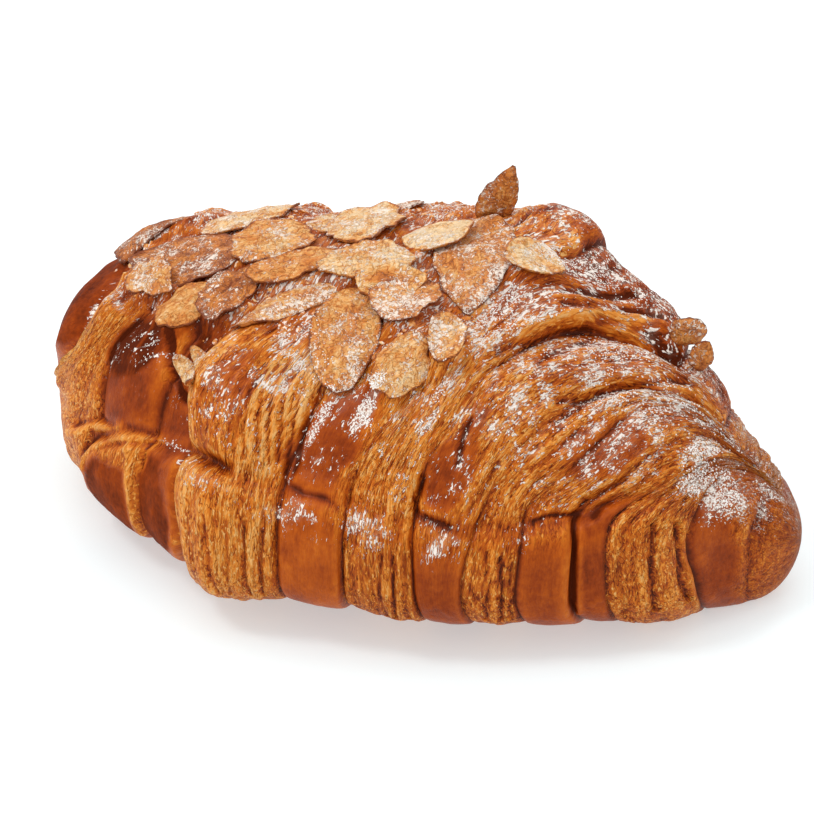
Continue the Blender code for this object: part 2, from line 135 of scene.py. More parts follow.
# %% [markdown]
# ## Shader maths as plain expressions
# A node tree that paints a crust has dozens of small sums. Wrapping a socket in a class that knows +, -
# and * lets each be written as it would be on paper, and one method adds any other node.


# %% A wire in a node tree
class Wire:
    """An output socket, with arithmetic on it that adds Math nodes."""

    def __init__(self, tree, socket=None):
        self.tree, self.socket = tree, socket

    def node(self, kind, settings, inputs, out=0):
        """Add a node, with its settings and then the values or wires of its inputs, for one output."""
        made = self.tree.nodes.new(kind)
        for key, value in settings.items():
            if key == "stops":
                band = made.color_ramp.elements
                while len(band) < len(value):
                    band.new(1.0)
                for stop, (place, colour) in zip(band, value):
                    stop.position, stop.color = place, (*colour, 1)
            else:
                setattr(made, key, value)
        for key, value in inputs.items():
            if isinstance(value, Wire):
                self.tree.links.new(value.socket, made.inputs[key])
            else:
                made.inputs[key].default_value = value
        return Wire(self.tree, made.outputs[out])

    def math(self, operation, first, second=0.0):
        return self.node("ShaderNodeMath", {"operation": operation}, {0: first, 1: second})

    def __add__(self, other):
        return self.math("ADD", self, other)

    def __sub__(self, other):
        return self.math("SUBTRACT", self, other)

    def __rsub__(self, other):
        return self.math("SUBTRACT", other, self)

    def __mul__(self, other):
        return self.math("MULTIPLY", self, other)

    def __abs__(self):
        return self.math("ABSOLUTE", self)

    __radd__ = __add__
    __rmul__ = __mul__

    def between(self, low, high):
        """0 below low, 1 above high, smooth between them."""
        settings = {"interpolation_type": "SMOOTHSTEP"}
        return self.node("ShaderNodeMapRange", settings, {"Value": self, "From Min": low, "From Max": high})

    def stretched(self, x, y, z):
        """A vector with each part multiplied."""
        return self.node("ShaderNodeVectorMath", {"operation": "MULTIPLY"}, {0: self, 1: (x, y, z)})

    def noise(self, scale, detail=2.0, roughness=0.5, distortion=0.0):
        """Cloudy noise from 0 to 1 at a vector, scale lumps to its unit."""
        inputs = {"Vector": self, "Scale": scale, "Detail": detail, "Roughness": roughness}
        return self.node("ShaderNodeTexNoise", {}, {**inputs, "Distortion": distortion}, "Fac")

    def ramp(self, stops):
        """Colour of a value on a ramp."""
        return self.node("ShaderNodeValToRGB", {"stops": stops}, {"Fac": self}, "Color")

    def over(self, factor, colour):
        """This colour with another laid over it."""
        return self.node("ShaderNodeMix", {"data_type": "RGBA"}, {0: factor, 6: self, 7: colour}, 2)

    def bump(self, distance, below=None):
        """A normal from this height, which a whole unit lifts by a distance in millimetres."""
        inputs = {"Height": self, "Distance": distance * MM}
        if below is not None:
            inputs["Normal"] = below
        return self.node("ShaderNodeBump", {}, inputs, "Normal")


def attribute(start, name, out="Fac"):
    """A value or vector that is kept on the mesh."""
    return start.node("ShaderNodeAttribute", {"attribute_name": name}, {}, out)


def own_places(start):
    """The piece's own coordinates."""
    return start.node("ShaderNodeTexCoord", {}, {}, "Object")


def new_material(name):
    """An empty material: its node tree as a wire to start from, and its shader."""
    material = bpy.data.materials.new(name)
    material.use_nodes = True
    return material, Wire(material.node_tree), material.node_tree.nodes["Principled BSDF"]


def connect(start, shader, wires):
    """Link wires to the shader's sockets by name."""
    for name, wire in wires.items():
        start.tree.links.new(wire.socket, shader.inputs[name])


paper, start, shader = new_material("white paper")
shader.inputs["Base Color"].default_value = (0.555, 0.630, 0.645, 1)
shader.inputs["Emission Color"].default_value = (1, 1, 1, 1)
shader.inputs["Emission Strength"].default_value = 0.45
shader.inputs["Specular IOR Level"].default_value = 0.0
paper_grain = own_places(start).noise(900.0)
connect(start, shader, {"Roughness": paper_grain * 0.1 + 0.75})
floor_data.materials.append(paper)
print("shader helpers ready")

# %% [markdown]
# ## The loaf
# A croissant is one long triangle of layered dough rolled up, so its crust is a row of wraps that lie
# over one another along the loaf. Here each point of it is named by its wrap, by its share of the way
# across that wrap, and by its angle round the loaf: 0 looks to the front, 90 up. The numbers are those
# of the solid, so the fine crust lands on it. Working in these names makes every crease follow the dough
# by itself, which sculpting in plain coordinates wouldn't.

# %% Sections of the loaf
LEFT, RIGHT = -75.6, 77.0
CENTRE_SHIFT = np.array((-0.700, 2.697, 0.0))  # from where the loaf was built to the model's own middle
STATIONS = np.array((  # x, front edge, back edge, crown, crown height, height of the widest line
    (LEFT, 0, 22, 12, 34, 18),
    (-66, -8, 26, 12, 37, 17),
    (-55, -21, 33, 12, 45, 16),
    (-38, -33, 40, 12, 51, 15),
    (-20, -49, 43, 13, 55, 15),
    (0, -47, 43, 14, 56, 15),
    (22, -45, 42, 13, 60, 15),
    (40, -39, 32, 9, 47, 14),
    (55, -31, 20, 2, 39, 13),
    (66, -18, 12, -2, 28, 12),
    (RIGHT, -12, 6, -4, 22, 12),
), float)
HORN_CAP, NOSE_CAP = 16.0, 13.0
HORN_POLE, NOSE_POLE = (15.0, 23.0), (-3.0, 11.0)
CROWN_POWER, BELLY_POWER, SIDE_POWER = 2.1, 2.3, 2.15
BELLY_DROP = 2.0
HORN_POWER, NOSE_POWER = 2.2, 2.4
STEP_ALONG, STEP_ROUND, OFF_TIP = 0.3, 0.5, 0.4


def through(x, xs, ys):
    """Monotone cubic curve through the points (xs, ys), held level beyond its ends."""
    xs, ys = np.asarray(xs, float), np.asarray(ys, float)
    gaps = np.diff(xs)
    slopes = np.diff(ys) / gaps
    tangents = np.concatenate([slopes[:1], np.zeros(len(xs) - 2), slopes[-1:]])
    for i in range(1, len(xs) - 1):
        if slopes[i - 1] * slopes[i] > 0:
            before = 2 * gaps[i] + gaps[i - 1]
            after = gaps[i] + 2 * gaps[i - 1]
            tangents[i] = (before + after) / (before / slopes[i - 1] + after / slopes[i])
    x = np.clip(x, xs[0], xs[-1])
    i = np.clip(np.searchsorted(xs, x) - 1, 0, len(gaps) - 1)
    t = (x - xs[i]) / gaps[i]
    rise = ys[i] * (1 + 2 * t) * (1 - t) ** 2 + ys[i + 1] * t * t * (3 - 2 * t)
    return rise + gaps[i] * (tangents[i] * t * (1 - t) ** 2 - tangents[i + 1] * t * t * (1 - t))


def ramp(value, low, high):
    """0 at low, 1 at high, smooth between them."""
    t = np.clip((value - low) / (high - low), 0, 1)
    return t * t * (3 - 2 * t)


def window(value, start, full, ending, stop):
    """0 before start and after stop, 1 from full to ending, smooth between them."""
    return ramp(value, start, full) * ramp(-value, -stop, -ending)


def loaf(x, angle):
    """Points of the smooth loaf for x and an angle in degrees round it."""
    front, back, crown, top, wide = (through(x, STATIONS[:, 0], STATIONS[:, i]) for i in range(1, 6))
    cos, sin = np.cos(np.radians(angle)), np.sin(np.radians(angle))
    y = np.where(cos > 0, front - crown, back - crown) * np.abs(cos) ** (2 / SIDE_POWER)
    upper = (top - wide) * np.abs(sin) ** (2 / CROWN_POWER)
    lower = -(wide + BELLY_DROP) * np.abs(sin) ** (2 / BELLY_POWER)
    z = np.where(sin > 0, upper, lower)
    into_horn = np.clip((LEFT + HORN_CAP - x) / HORN_CAP, 0, 1)
    into_nose = np.clip((x - RIGHT + NOSE_CAP) / NOSE_CAP, 0, 1)
    horn = np.sqrt(np.maximum(0, 1 - into_horn**HORN_POWER))
    nose = np.sqrt(np.maximum(0, 1 - into_nose**NOSE_POWER))
    mid_y = crown + (HORN_POLE[0] - crown) * (1 - horn) + (NOSE_POLE[0] - crown) * (1 - nose)
    mid_z = wide + (HORN_POLE[1] - wide) * (1 - horn) + (NOSE_POLE[1] - wide) * (1 - nose)
    return np.stack([x + 0 * angle, mid_y + y * horn * nose, mid_z + z * horn * nose], -1)


def outward(x, angle):
    """Unit normals of the smooth loaf, from two short steps on it."""
    inner = np.clip(x, LEFT + OFF_TIP, RIGHT - OFF_TIP)
    along = loaf(inner + STEP_ALONG, angle) - loaf(inner - STEP_ALONG, angle)
    around = loaf(inner, angle + STEP_ROUND) - loaf(inner, angle - STEP_ROUND)
    normal = np.cross(along, around)
    return normal / (np.linalg.norm(normal, axis=-1, keepdims=True) + 1e-9)


print("loaf crown at the middle:", loaf(np.array([0.0]), np.array([90.0]))[0].round(1))

# %% [markdown]
# ## The wraps and the seam
# The edges between the wraps lean over the loaf, so each is a line of x against angle. A wrap shows
# either the smooth brown skin of the dough's outside or the pale cut layers of its edge. Where one lies
# over the next there is a lip, and along the front the upper roll overhangs a lower tier in a seam.

# %% Edges, wraps and seam
EDGE_ANGLES = (-90, -30, 0, 20, 40, 60, 75, 90, 135, 180, 225, 270)
EDGES = (
    (LEFT,) * len(EDGE_ANGLES),
    (-72, -72.5, -72.5, -69, -62, -57, -55, -54, -52, -55, -63, -72),
    (-57, -57, -55, -54, -53, -45, -41, -38, -36, -41, -48, -57),
    (-40, -40, -40, -39, -37, -32, -28, -25, -23, -28, -34, -40),
    (-31, -31, -30, -31, -33, -24, -17, -11, -7, -13, -22, -31),
    (-10, -9, -9, -9, -6, 3, 8, 13, 15, 9, -1, -10),
    (2, 2, 3, 3, 9, 16, 22, 30, 32, 24, 12, 2),
    (17, 17, 16, 15, 20, 29, 36, 52, 50, 42, 28, 17),
    (25, 25, 24, 27, 33, 41, 53, 62, 60, 52, 38, 25),
    (34, 34, 33, 34, 41, 48, 58, 66, 63, 57, 46, 34),
    (43, 43, 42, 42, 49, 56, 62, 69, 66, 61, 52, 43),
    (50, 49, 48, 47, 55, 61, 65, 71, 69, 65, 58, 50),
    (62, 62, 61, 59, 61, 64, 68, 73, 71.5, 69, 65, 62),
    (69, 69, 69, 69, 70, 71, 72.5, 75, 74, 72, 70, 69),
    (RIGHT,) * len(EDGE_ANGLES),
)
STEPS = (-7.5, 1.4, 1.6, -4.2, 1.4, 1.6, 2.8, 1.6, 1.6, 2.6, 1.2, 1.8, 1.2)
SKIN, LAYERS = "skin", "layers"
WRAPS = (  # what it shows, pillow height, grooves
    (SKIN, 3.0, 0),
    (LAYERS, 1.0, 2),
    (SKIN, 1.8, 0),
    (SKIN, 0.8, 0),
    (LAYERS, 1.6, 5),
    (SKIN, 1.6, 0),
    (LAYERS, 1.3, 3),
    (SKIN, 1.4, 0),
    (LAYERS, 1.2, 2),
    (SKIN, 1.4, 0),
    (SKIN, 1.0, 0),
    (LAYERS, 1.3, 3),
    (SKIN, 1.0, 0),
    (SKIN, 0.5, 0),
)
# height beside an edge, as a share of half its step, for the share of a wrap away from it
LIP = ((0, -1), (0.05, 0.3), (0.13, 0.9), (0.22, 1), (0.4, 0.7), (0.75, 0))
TUCK = ((0, -1), (0.08, -0.85), (0.25, -0.4), (0.5, 0))
FULL_STEP_WIDTH, LEAST_STEP = 11.0, 0.15
GROOVE_DEPTH, PILLOW_POWER, LOW_STEPS = 0.3, 0.42, 0.25
SEAM = np.array((  # x, angle of the seam, depth of its groove
    (LEFT, 6, 0.0),
    (-64, 9, 0.3),
    (-53, 12, 0.9),
    (-35, 20, 1.1),
    (-25, 25, 2.4),
    (-15, 22, 1.2),
    (0, 20, 0.9),
    (15, 16, 0.9),
    (24, 15, 1.0),
    (35, 19, 1.0),
    (42, 24, 1.6),
    (48, 31, 1.8),
    (53, 35, 1.0),
    (58, 36, 0.2),
    (66, 28, 0.0),
    (RIGHT, 10, 0.0),
), float)
SEAM_WIDTH, SEAM_FULL, SEAM_USUAL = 2.6, 0.9, 20.0
TIER_LEDGE, TIER_SETBACK, TIER_CREASE, CREASE_WIDTH = 1.6, 1.2, 0.7, 0.04
TIER_PILLOW, TIER_LOW, TIER_HIGH = 0.8, 24.0, 15.0
LEDGE_GROWS, SETBACK_GROWS = 11, 5  # over so many degrees from the seam
SEAM_BLEND = (-4, 8)  # degrees over which the lower tier gives way to the upper roll
SNUG = 0.62  # the bulges of the lower tier press on one another, so they part only this far down
HORN_WRAPS = 2  # the first wraps, which aren't pressed so
HOLLOW, HOLLOW_DEPTH = 3, 2.2  # the number of the wrap that sinks between its neighbours
CALM = (  # angles, x range, share of the relief taken away
    (50, 125, -60, 32, 0.7),
    (38, 150, 44, 100, 0.5),
    (100, 150, 22, 45, 0.4),
)


def edge_x(number, angle):
    """x of an edge between two wraps, at an angle."""
    return through((np.asarray(angle, float) + 90) % 360 - 90, EDGE_ANGLES, EDGES[number])


def across(number, share, angle):
    """x at a share of the way across a wrap, and the wrap's width there."""
    width = edge_x(number + 1, angle) - edge_x(number, angle)
    return edge_x(number, angle) + width * share, width


def seam_at(x):
    """Angle of the seam and depth of its groove at x."""
    return through(x, SEAM[:, 0], SEAM[:, 1]), through(x, SEAM[:, 0], SEAM[:, 2])


def over_seam(x, angle):
    """1 on the upper roll, 0 on the lower tier."""
    return np.where(angle < 90, ramp(angle - seam_at(x)[0], *SEAM_BLEND), 1)


def step_profile(distance, step):
    """Height beside an edge, for the share of a wrap right or left of it, and the edge's step."""
    curve = LIP if (distance < 0) == (step > 0) else TUCK
    return abs(step) / 2 * through(abs(distance), *zip(*curve))


def wrap_relief(number, share, angle):
    """Height of a wrap's surface over the smooth loaf."""
    kind, pillow, grooves = WRAPS[number]
    x, width = across(number, share, angle)
    bulge = (4 * share * (1 - share)) ** PILLOW_POWER
    snug = bulge if number < HORN_WRAPS else SNUG + (1 - SNUG) * bulge
    upper = over_seam(x, angle)
    height = pillow * (bulge * upper + snug * (1 - upper))
    if kind == LAYERS:
        height = height - GROOVE_DEPTH / 2 * (1 - np.cos(2 * math.pi * grooves * share)) * ramp(width, 2, 9)
    if number == HOLLOW:
        height = height - HOLLOW_DEPTH * upper * bulge
    steps, creases = 0, 0
    if number > 0:
        steps = steps + step_profile(share, STEPS[number - 1])
        creases = creases + math.exp(-((share / CREASE_WIDTH) ** 2))
    if number < len(STEPS):
        steps = steps + step_profile(share - 1 - 1e-6, STEPS[number])
        creases = creases + math.exp(-(((1 - share) / CREASE_WIDTH) ** 2))
    height = height + steps * (LOW_STEPS + (1 - LOW_STEPS) * upper)
    height = height + (TIER_PILLOW * snug - TIER_CREASE * creases) * (1 - upper)
    return height * np.clip(width / FULL_STEP_WIDTH, LEAST_STEP, 1)


def seam_relief(x, angle):
    """The groove of the seam, the ledge under it and the setback over it."""
    seam, depth = seam_at(x)
    away = angle - seam
    strength = np.clip(depth / SEAM_FULL, 0, 1)
    groove = -depth * np.exp(-((away / SEAM_WIDTH) ** 2))
    ledge = TIER_LEDGE * ramp(-away, 0, LEDGE_GROWS) * np.exp(-((away / TIER_LOW) ** 2))
    setback = -TIER_SETBACK * ramp(away, 0, SETBACK_GROWS) * np.exp(-((away / TIER_HIGH) ** 2))
    return np.where((angle > -90) & (angle < 90), groove + strength * (ledge + setback), 0)


MELTED = (  # where the wraps have grown into one another: angles, x range, how far
    (18, 60, -6, 46, 0.80),
    (20, 75, 40, 70, 0.55),
    (10, 38, -46, -28, 0.60),
)
MELTED_HEIGHT = 1.1
FADE_BELOW, FADE_ABOVE, FADE_ALONG = 12, 15, 10  # how slowly such places begin and end
PRESSED = (  # dents, or swellings of less than no depth: middle (wrap and share, angle), half sizes, depth
    (4.02, -14, 0.28, 34, 2.2),
    (1.15, 22, 0.40, 30, 1.3),
    (2.5, 60, 0.5, 14, 1.0),
    (6.0, 104, 0.9, 18, -2.2),
    (0.45, 30, 0.5, 50, -1.0),
)


def left_over(places, x, angle):
    """What a list of places leaves at x and an angle, from 1 down to 0."""
    left = 1
    for low, high, start, stop, taken in places:
        around = window(angle, low, low + FADE_BELOW, high - FADE_ABOVE, high)
        along = window(x, start, start + FADE_ALONG, stop - FADE_ALONG, stop)
        left = left * (1 - taken * around * along)
    return left


print("wraps:", len(WRAPS), "of which layered:", sum(kind == LAYERS for kind, _, _ in WRAPS))

# %% [markdown]
# ## A fine net of points over the loaf
# The net is a sphere's: one row for each line of the dough, one column for each angle, and a pole at
# each tip. A wrap gets as many rows as its widest place needs, columns stand closer on the front and
# top, and one of them rides on the seam. Some 98 500 points give relief down to half a millimetre.

# %% Rows and columns
ROWS_PER_MM = 1.79
FIRST_ROW, TIP_POWER = 0.6, 1.5  # the rows close up towards each tip
LOW_ANGLE = -28.0
UNDER_COLUMNS, LOW_COLUMNS, HIGH_COLUMNS, BACK_COLUMNS = 14, 54, 92, 100
LOW_POWER, HIGH_POWER, BACK_POWER = 1.15, 1.08, 1.12  # the columns close up at the seam and the crown


def row_places():
    """Wrap and share of the way across it for each row between the two tips."""
    rows = []
    for number in range(len(WRAPS)):
        widest = max(across(number, 0, angle)[1] for angle in EDGE_ANGLES)
        count = round(widest * ROWS_PER_MM)
        shares = np.arange(count) / count
        if number == 0:
            shares = ((np.arange(count) + FIRST_ROW) / count) ** TIP_POWER
        elif number == len(WRAPS) - 1:
            shares = 1 - ((np.arange(count, 0, -1) - (1 - FIRST_ROW)) / count) ** TIP_POWER
        rows += [(number, float(share)) for share in shares]
    return rows


def column_angles(x):
    """Angles of the columns for the seam's place at x."""
    seam = float(seam_at(x)[0])
    below = np.linspace(-90, LOW_ANGLE, UNDER_COLUMNS, endpoint=False)
    low = seam - (seam - LOW_ANGLE) * (1 - np.arange(LOW_COLUMNS) / LOW_COLUMNS) ** LOW_POWER
    high = seam + (90 - seam) * (np.arange(HIGH_COLUMNS) / HIGH_COLUMNS) ** HIGH_POWER
    back = 90 + 180 * (np.arange(BACK_COLUMNS) / BACK_COLUMNS) ** BACK_POWER
    return np.concatenate([below, low, high, back])


rows = row_places()
angle = np.array([column_angles(float(across(number, share, SEAM_USUAL)[0])) for number, share in rows])
x = np.array([across(number, share, line)[0] for (number, share), line in zip(rows, angle)])
relief = np.array([wrap_relief(number, share, line) for (number, share), line in zip(rows, angle)])
print("net:", angle.shape, "so", 2 * angle.size, "triangles")

# %% [markdown]
# ## Noise that knows the dough
# Baked dough is uneven at every size, and its layers run round the roll. So noise is read at points
# whose first part counts millimetres across the wraps and whose other two go round the loaf: squeezed
# along the first part it makes fibres that follow every wrap, and it meets itself under the belly.


# %% Grain coordinates and noise
ASKEW = np.array(Euler((0.6, 0.9, 0.4)).to_matrix())  # turns the noise's own grid away from every axis
TABLE = 4096


def lumps(places, seed):
    """Smooth noise from -1 to 1 at 3-D places, one lump to a unit."""
    places = places @ ASKEW
    rng = np.random.default_rng(seed)
    table, shuffle = rng.uniform(-1, 1, TABLE), rng.permutation(TABLE)
    cell = np.floor(places).astype(int)
    t = places - cell
    t = t * t * (3 - 2 * t)
    total = 0
    for corner in itertools.product((0, 1), repeat=3):
        key = 0
        for axis in range(3):
            key = shuffle[(key + cell[..., axis] + corner[axis]) % TABLE]
        total = total + np.prod(np.where(np.array(corner) > 0, t, 1 - t), axis=-1) * table[key]
    return total


ROUND = 28.0  # millimetres: the loaf's usual radius
starts = [float(edge_x(number, SEAM_USUAL)) for number in range(len(WRAPS) + 1)]
run = np.array([starts[number] + (starts[number + 1] - starts[number]) * share for number, share in rows])
turn = np.radians(angle)
grain = np.stack([run[:, None] + 0 * angle, ROUND * np.cos(turn), ROUND * np.sin(turn)], -1)
wrap = np.array([number + share for number, share in rows])[:, None] + 0 * angle
upper = over_seam(x, angle)
base = loaf(x, angle)
print("grain runs from", round(run[0], 1), "to", round(run[-1], 1), "mm")

# %% [markdown]
# ## Where the crust is smooth skin, where it shows its layers, and how brown it is
# The skin bakes dark and smooth, the cut layers stay golden and rough. The photograph shows a patchwork
# of both that only partly follows the wraps, so patches are listed by wrap, angle and size and laid one
# over another, like glazes. Two maps come of it: tone, from dark brown to pale gold, and layered.

# %% Tone and layers
TONE_OF = {SKIN: 0.20, LAYERS: 0.42}
TORN_TONE, TORN_LAYERS = 0.54, 0.9  # over the seam skin shows only in patches
TIER_TONE, TIER_LAYERS = 0.40, 0.6  # along the top of the lower tier
PATCHES = (  # middle: wrap and share, angle; half sizes: wraps, degrees; tone, how layered
    (0.6, 60, 0.9, 60, 0.08, 0),
    (0.6, 12, 0.7, 22, 0.3, 0.1),
    (1.5, 40, 0.62, 80, 0.56, 0.9),
    (2.5, -6, 0.55, 22, 0.09, 0),
    (3.5, -4, 0.45, 24, 0.09, 0),
    (2.5, 26, 0.55, 13, 0.15, 0),
    (2.35, 48, 0.6, 15, -0.01, 0.1),
    (2.2, 60, 0.4, 8, 0.3, 0.3),
    (2.45, 13, 0.6, 5, 0.5, 0.7),
    (2.98, 0, 0.07, 24, 0.5, 0.8),
    (3.02, 42, 0.13, 10, 0.34, 0.3),
    (3.5, 42, 0.4, 12, 0.08, 0.2),
    (4.5, 6, 0.55, 34, 0.56, 0.9),
    (4.5, 45, 0.6, 30, 0.6, 0.9),
    (4.38, 36, 0.18, 15, 0.44, 0.8),
    (4.45, 41, 0.1, 5, 0.34, 0.5),
    (4.36, 47, 0.08, 4, 0.36, 0.5),
    (4.78, 38, 0.22, 14, 0.76, 1),
    (5.5, 66, 0.6, 18, 0.42, 0.7),
    (5.47, 32.5, 0.52, 12, 0.22, 0),
    (5.42, 22, 0.44, 6, 0.23, 0),
    (5.5, -4, 0.5, 22, 0.3, 0),
    (6.5, 44, 0.62, 36, 0.6, 0.9),
    (6.5, 76, 0.6, 16, 0.33, 0.7),
    (6.9, 106, 1.4, 24, 0.13, 0.6),
    (7.5, 44, 0.66, 26, 0.56, 0.9),
    (7.36, 25, 0.36, 8, 0.24, 0.1),
    (7.32, 35, 0.12, 5, 0.2, 0.4),
    (7.5, 76, 0.6, 22, 0.38, 0.9),
    (8.5, 62, 0.6, 24, 0.48, 0.9),
    (8.6, 36, 0.5, 16, 0.52, 0.9),
    (9.3, 45, 0.7, 11, 0.27, 0.4),
    (9.5, 78, 0.8, 20, 0.36, 0.8),
    (10.5, 46, 0.6, 18, 0.46, 0.9),
    (10.4, 12, 0.55, 20, 0.18, 0),
    (11.5, 20, 0.55, 30, 0.42, 1),
    (11.6, 60, 0.6, 22, 0.37, 0.8),
    (12.6, 60, 0.9, 30, 0.37, 0.6),
    (12.4, 4, 0.45, 24, 0.2, 0),
    (13.7, 10, 1, 400, 0.35, 0.7),
)


def mixed(values, goal, share):
    """Values drawn towards a goal by a share of the way."""
    return values + (goal - values) * share


def from_middle(middle, at, wide, tall):
    """How far every point of the net is from a patch's middle, where 1 is its rim."""
    return np.hypot((wrap - middle) / wide, (angle - at) / tall)


tone = np.array([TONE_OF[WRAPS[number][0]] + 0 * line for (number, _), line in zip(rows, angle)])
layered = np.array([(WRAPS[number][0] == LAYERS) + 0 * line for (number, _), line in zip(rows, angle)])
torn = upper * window(wrap, 3.97, 4.1, 12.0, 12.4)
tone, layered = mixed(tone, TORN_TONE, torn), mixed(layered, TORN_LAYERS, torn)
tier_top = np.exp(-(((angle - seam_at(x)[0] + 3) / 4) ** 2)) * window(wrap, 4.5, 5.2, 10.0, 10.5)
tone, layered = mixed(tone, TIER_TONE, 0.8 * tier_top), mixed(layered, TIER_LAYERS, tier_top)
ragged = 0.24 * lumps(grain / (5.0, 7.0, 7.0), 1) + 0.12 * lumps(grain / (1.6, 3.0, 3.0), 2)
for *place, patch_tone, patch_layers in PATCHES:
    cover = ramp(-(from_middle(*place) + ragged), -1.15, -0.8)
    tone, layered = mixed(tone, patch_tone, cover), mixed(layered, patch_layers, cover)
print("tone from", tone.min().round(2), "to", tone.max().round(2))

# %% [markdown]
# ## Creases that the baker's hands left
# Some folds don't follow the wraps' edges: the bundle of folds beside the big brown patch, the long arcs
# over the right shoulder, the lips on the left. Each is drawn as a line of x and angle, and a groove is
# pressed along it and darkened with painted shade; a lip lifts one side of it.

# %% Creases
CREASES = (  # depth, width, lift of the side with the larger x, then x and angle along the line
    (0.9, 0.45, 0.26, (-16.2, 46), (-17.1, 43), (-18.1, 40), (-17.8, 33), (-16.8, 27)),
    (0.8, 0.42, 0.26, (-14.4, 47), (-15.6, 44), (-15.9, 40), (-15.6, 33), (-14.4, 28)),
    (0.9, 0.42, 0.26, (-12.9, 48), (-13.8, 44), (-14.1, 40), (-13.5, 34), (-12.3, 26)),
    (1.1, 0.45, 0.26, (-10.4, 47), (-11.7, 44), (-12, 40), (-11.3, 34), (-11, 27)),
    (0.9, 0.45, 0.26, (-8.9, 44), (-9.5, 40), (-9.2, 34), (-9.2, 27), (-9.2, 24)),
    (0.5, 0.3, 0.12, (-16.6, 47), (-17.9, 42), (-18.9, 36), (-18.8, 28)),
    (0.5, 0.28, 0.12, (-13.6, 47), (-14.7, 42), (-15.1, 36), (-14.6, 30), (-13, 24)),
    (0.5, 0.28, 0.12, (-11.7, 47), (-12.8, 42), (-13, 36), (-12.2, 28)),
    (0.5, 0.28, 0.12, (-9.3, 46), (-10.4, 42), (-10.4, 36), (-9.9, 28)),
    (0.8, 0.6, 0, (-5.6, 42), (-6.8, 40), (-7.4, 34), (-7.4, 27), (-8, 23)),
    (1.2, 0.8, 0.3, (-54.4, 6), (-52.2, 12), (-48.3, 16), (-44.3, 19), (-39.1, 20)),
    (0.8, 0.6, 0.3, (-59.2, 8), (-54.4, 16), (-47, 18), (-41.8, 18), (-36.4, 19)),
    (0.9, 0.55, 0.2, (-53.4, 2), (-51.9, 7), (-47.9, 12), (-43.1, 16), (-39.1, 18)),
    (1.2, 0.8, 0, (-29.3, 24), (-26, 24), (-22.6, 25), (-19.3, 24)),
    (0.42, 0.42, 0.2, (-8.8, 22), (-5, 19.5), (-1, 19), (1.6, 17)),
    (1.3, 0.42, 0.3, (43.2, 29), (41.7, 24), (41.7, 20), (42.3, 10), (42.6, -2), (42.6, -14)),
    (0.8, 0.35, 0, (35.3, 19), (37.5, 22), (41.4, 24)),
    (0.7, 0.55, 0.4, (42.9, 28), (45.1, 32), (47.2, 35), (49, 38)),
    (0.4, 0.45, 0.3, (44.8, 24), (45.7, 28), (47.2, 30), (48.4, 34)),
    (0.7, 0.55, 0.2, (30.7, 56), (32.9, 62), (35.3, 68), (38.1, 72), (41.4, 76)),
    (1.5, 0.8, -0.7, (24, 54), (26.8, 58), (29.2, 62), (31.7, 68), (34.1, 72), (36.8, 78), (40.2, 82),
     (43.6, 84), (48.4, 86), (51.5, 88)),
    (1, 0.6, 0.3, (30.7, 72), (33.5, 76), (37, 81), (40.5, 85), (43.5, 88), (46, 92)),
    (1, 0.6, 0.3, (29.8, 75), (32.5, 79), (35, 83), (37.5, 87), (40, 92)),
    (0.9, 0.6, 0.3, (35, 51), (39, 56), (43, 61), (47, 68), (51, 75), (54.5, 82)),
    (0.9, 0.6, 0.3, (36, 46), (41, 60), (47, 68), (52, 72), (57, 80)),
    (0.6, 0.6, 0.2, (62, 73), (65, 78), (68.6, 84)),
    (0.9, 0.5, 0.2, (15.5, 24), (14.9, 20), (14.6, 18), (16.1, 16), (21.6, 14)),
    (0.7, 0.5, 0.2, (28, 30), (27.1, 26), (25.6, 21), (24.6, 18)),
    (0.5, 0.6, 0.2, (35, 30), (35.6, 35), (36.8, 40), (39.6, 47), (42.3, 52)),
    (0.8, 0.55, 0.2, (22.2, 37), (21.6, 33), (21.6, 28)),
    (1, 0.38, 0.25, (53.5, 25), (54, 12), (55.3, -12)),
    (1.2, 0.4, 0.25, (56.8, 26), (58, 12), (59.8, -12)),
    (0.6, 0.35, 0.15, (28, 10), (28.4, 0), (28, -14)),
    (0.9, 0.36, 0.2, (30.2, 9), (30.8, 0), (30.4, -14)),
    (0.6, 0.35, 0.15, (32, 8), (32.2, 0), (31.8, -14)),
    (0.5, 0.35, 0.15, (10.6, 8), (10.3, 0), (10.8, -14)),
    (0.9, 0.36, 0.2, (12.5, 8), (12.8, 0), (12.4, -14)),
    (0.6, 0.35, 0.15, (14.4, 8), (14.9, 0), (14.6, -14)),
    (0.8, 0.36, 0.2, (-21.6, 12), (-20.8, 2), (-20.4, -14)),
    (0.5, 0.35, 0.15, (-17.8, 12), (-17.6, 2), (-17.9, -14)),
    (0.9, 0.36, 0.2, (-14.7, 12), (-14.8, 2), (-14.4, -14)),
    (0.7, 0.35, 0.15, (-11.2, 13), (-11.9, 3), (-12.3, -14)),
    (1.2, 0.7, 0.3, (-38.5, 52), (-37.6, 46), (-37.6, 41), (-35.4, 35), (-33.3, 34)),
    (0.9, 0.6, 0.3, (17.3, 84), (18.5, 90), (20.7, 106)),
)
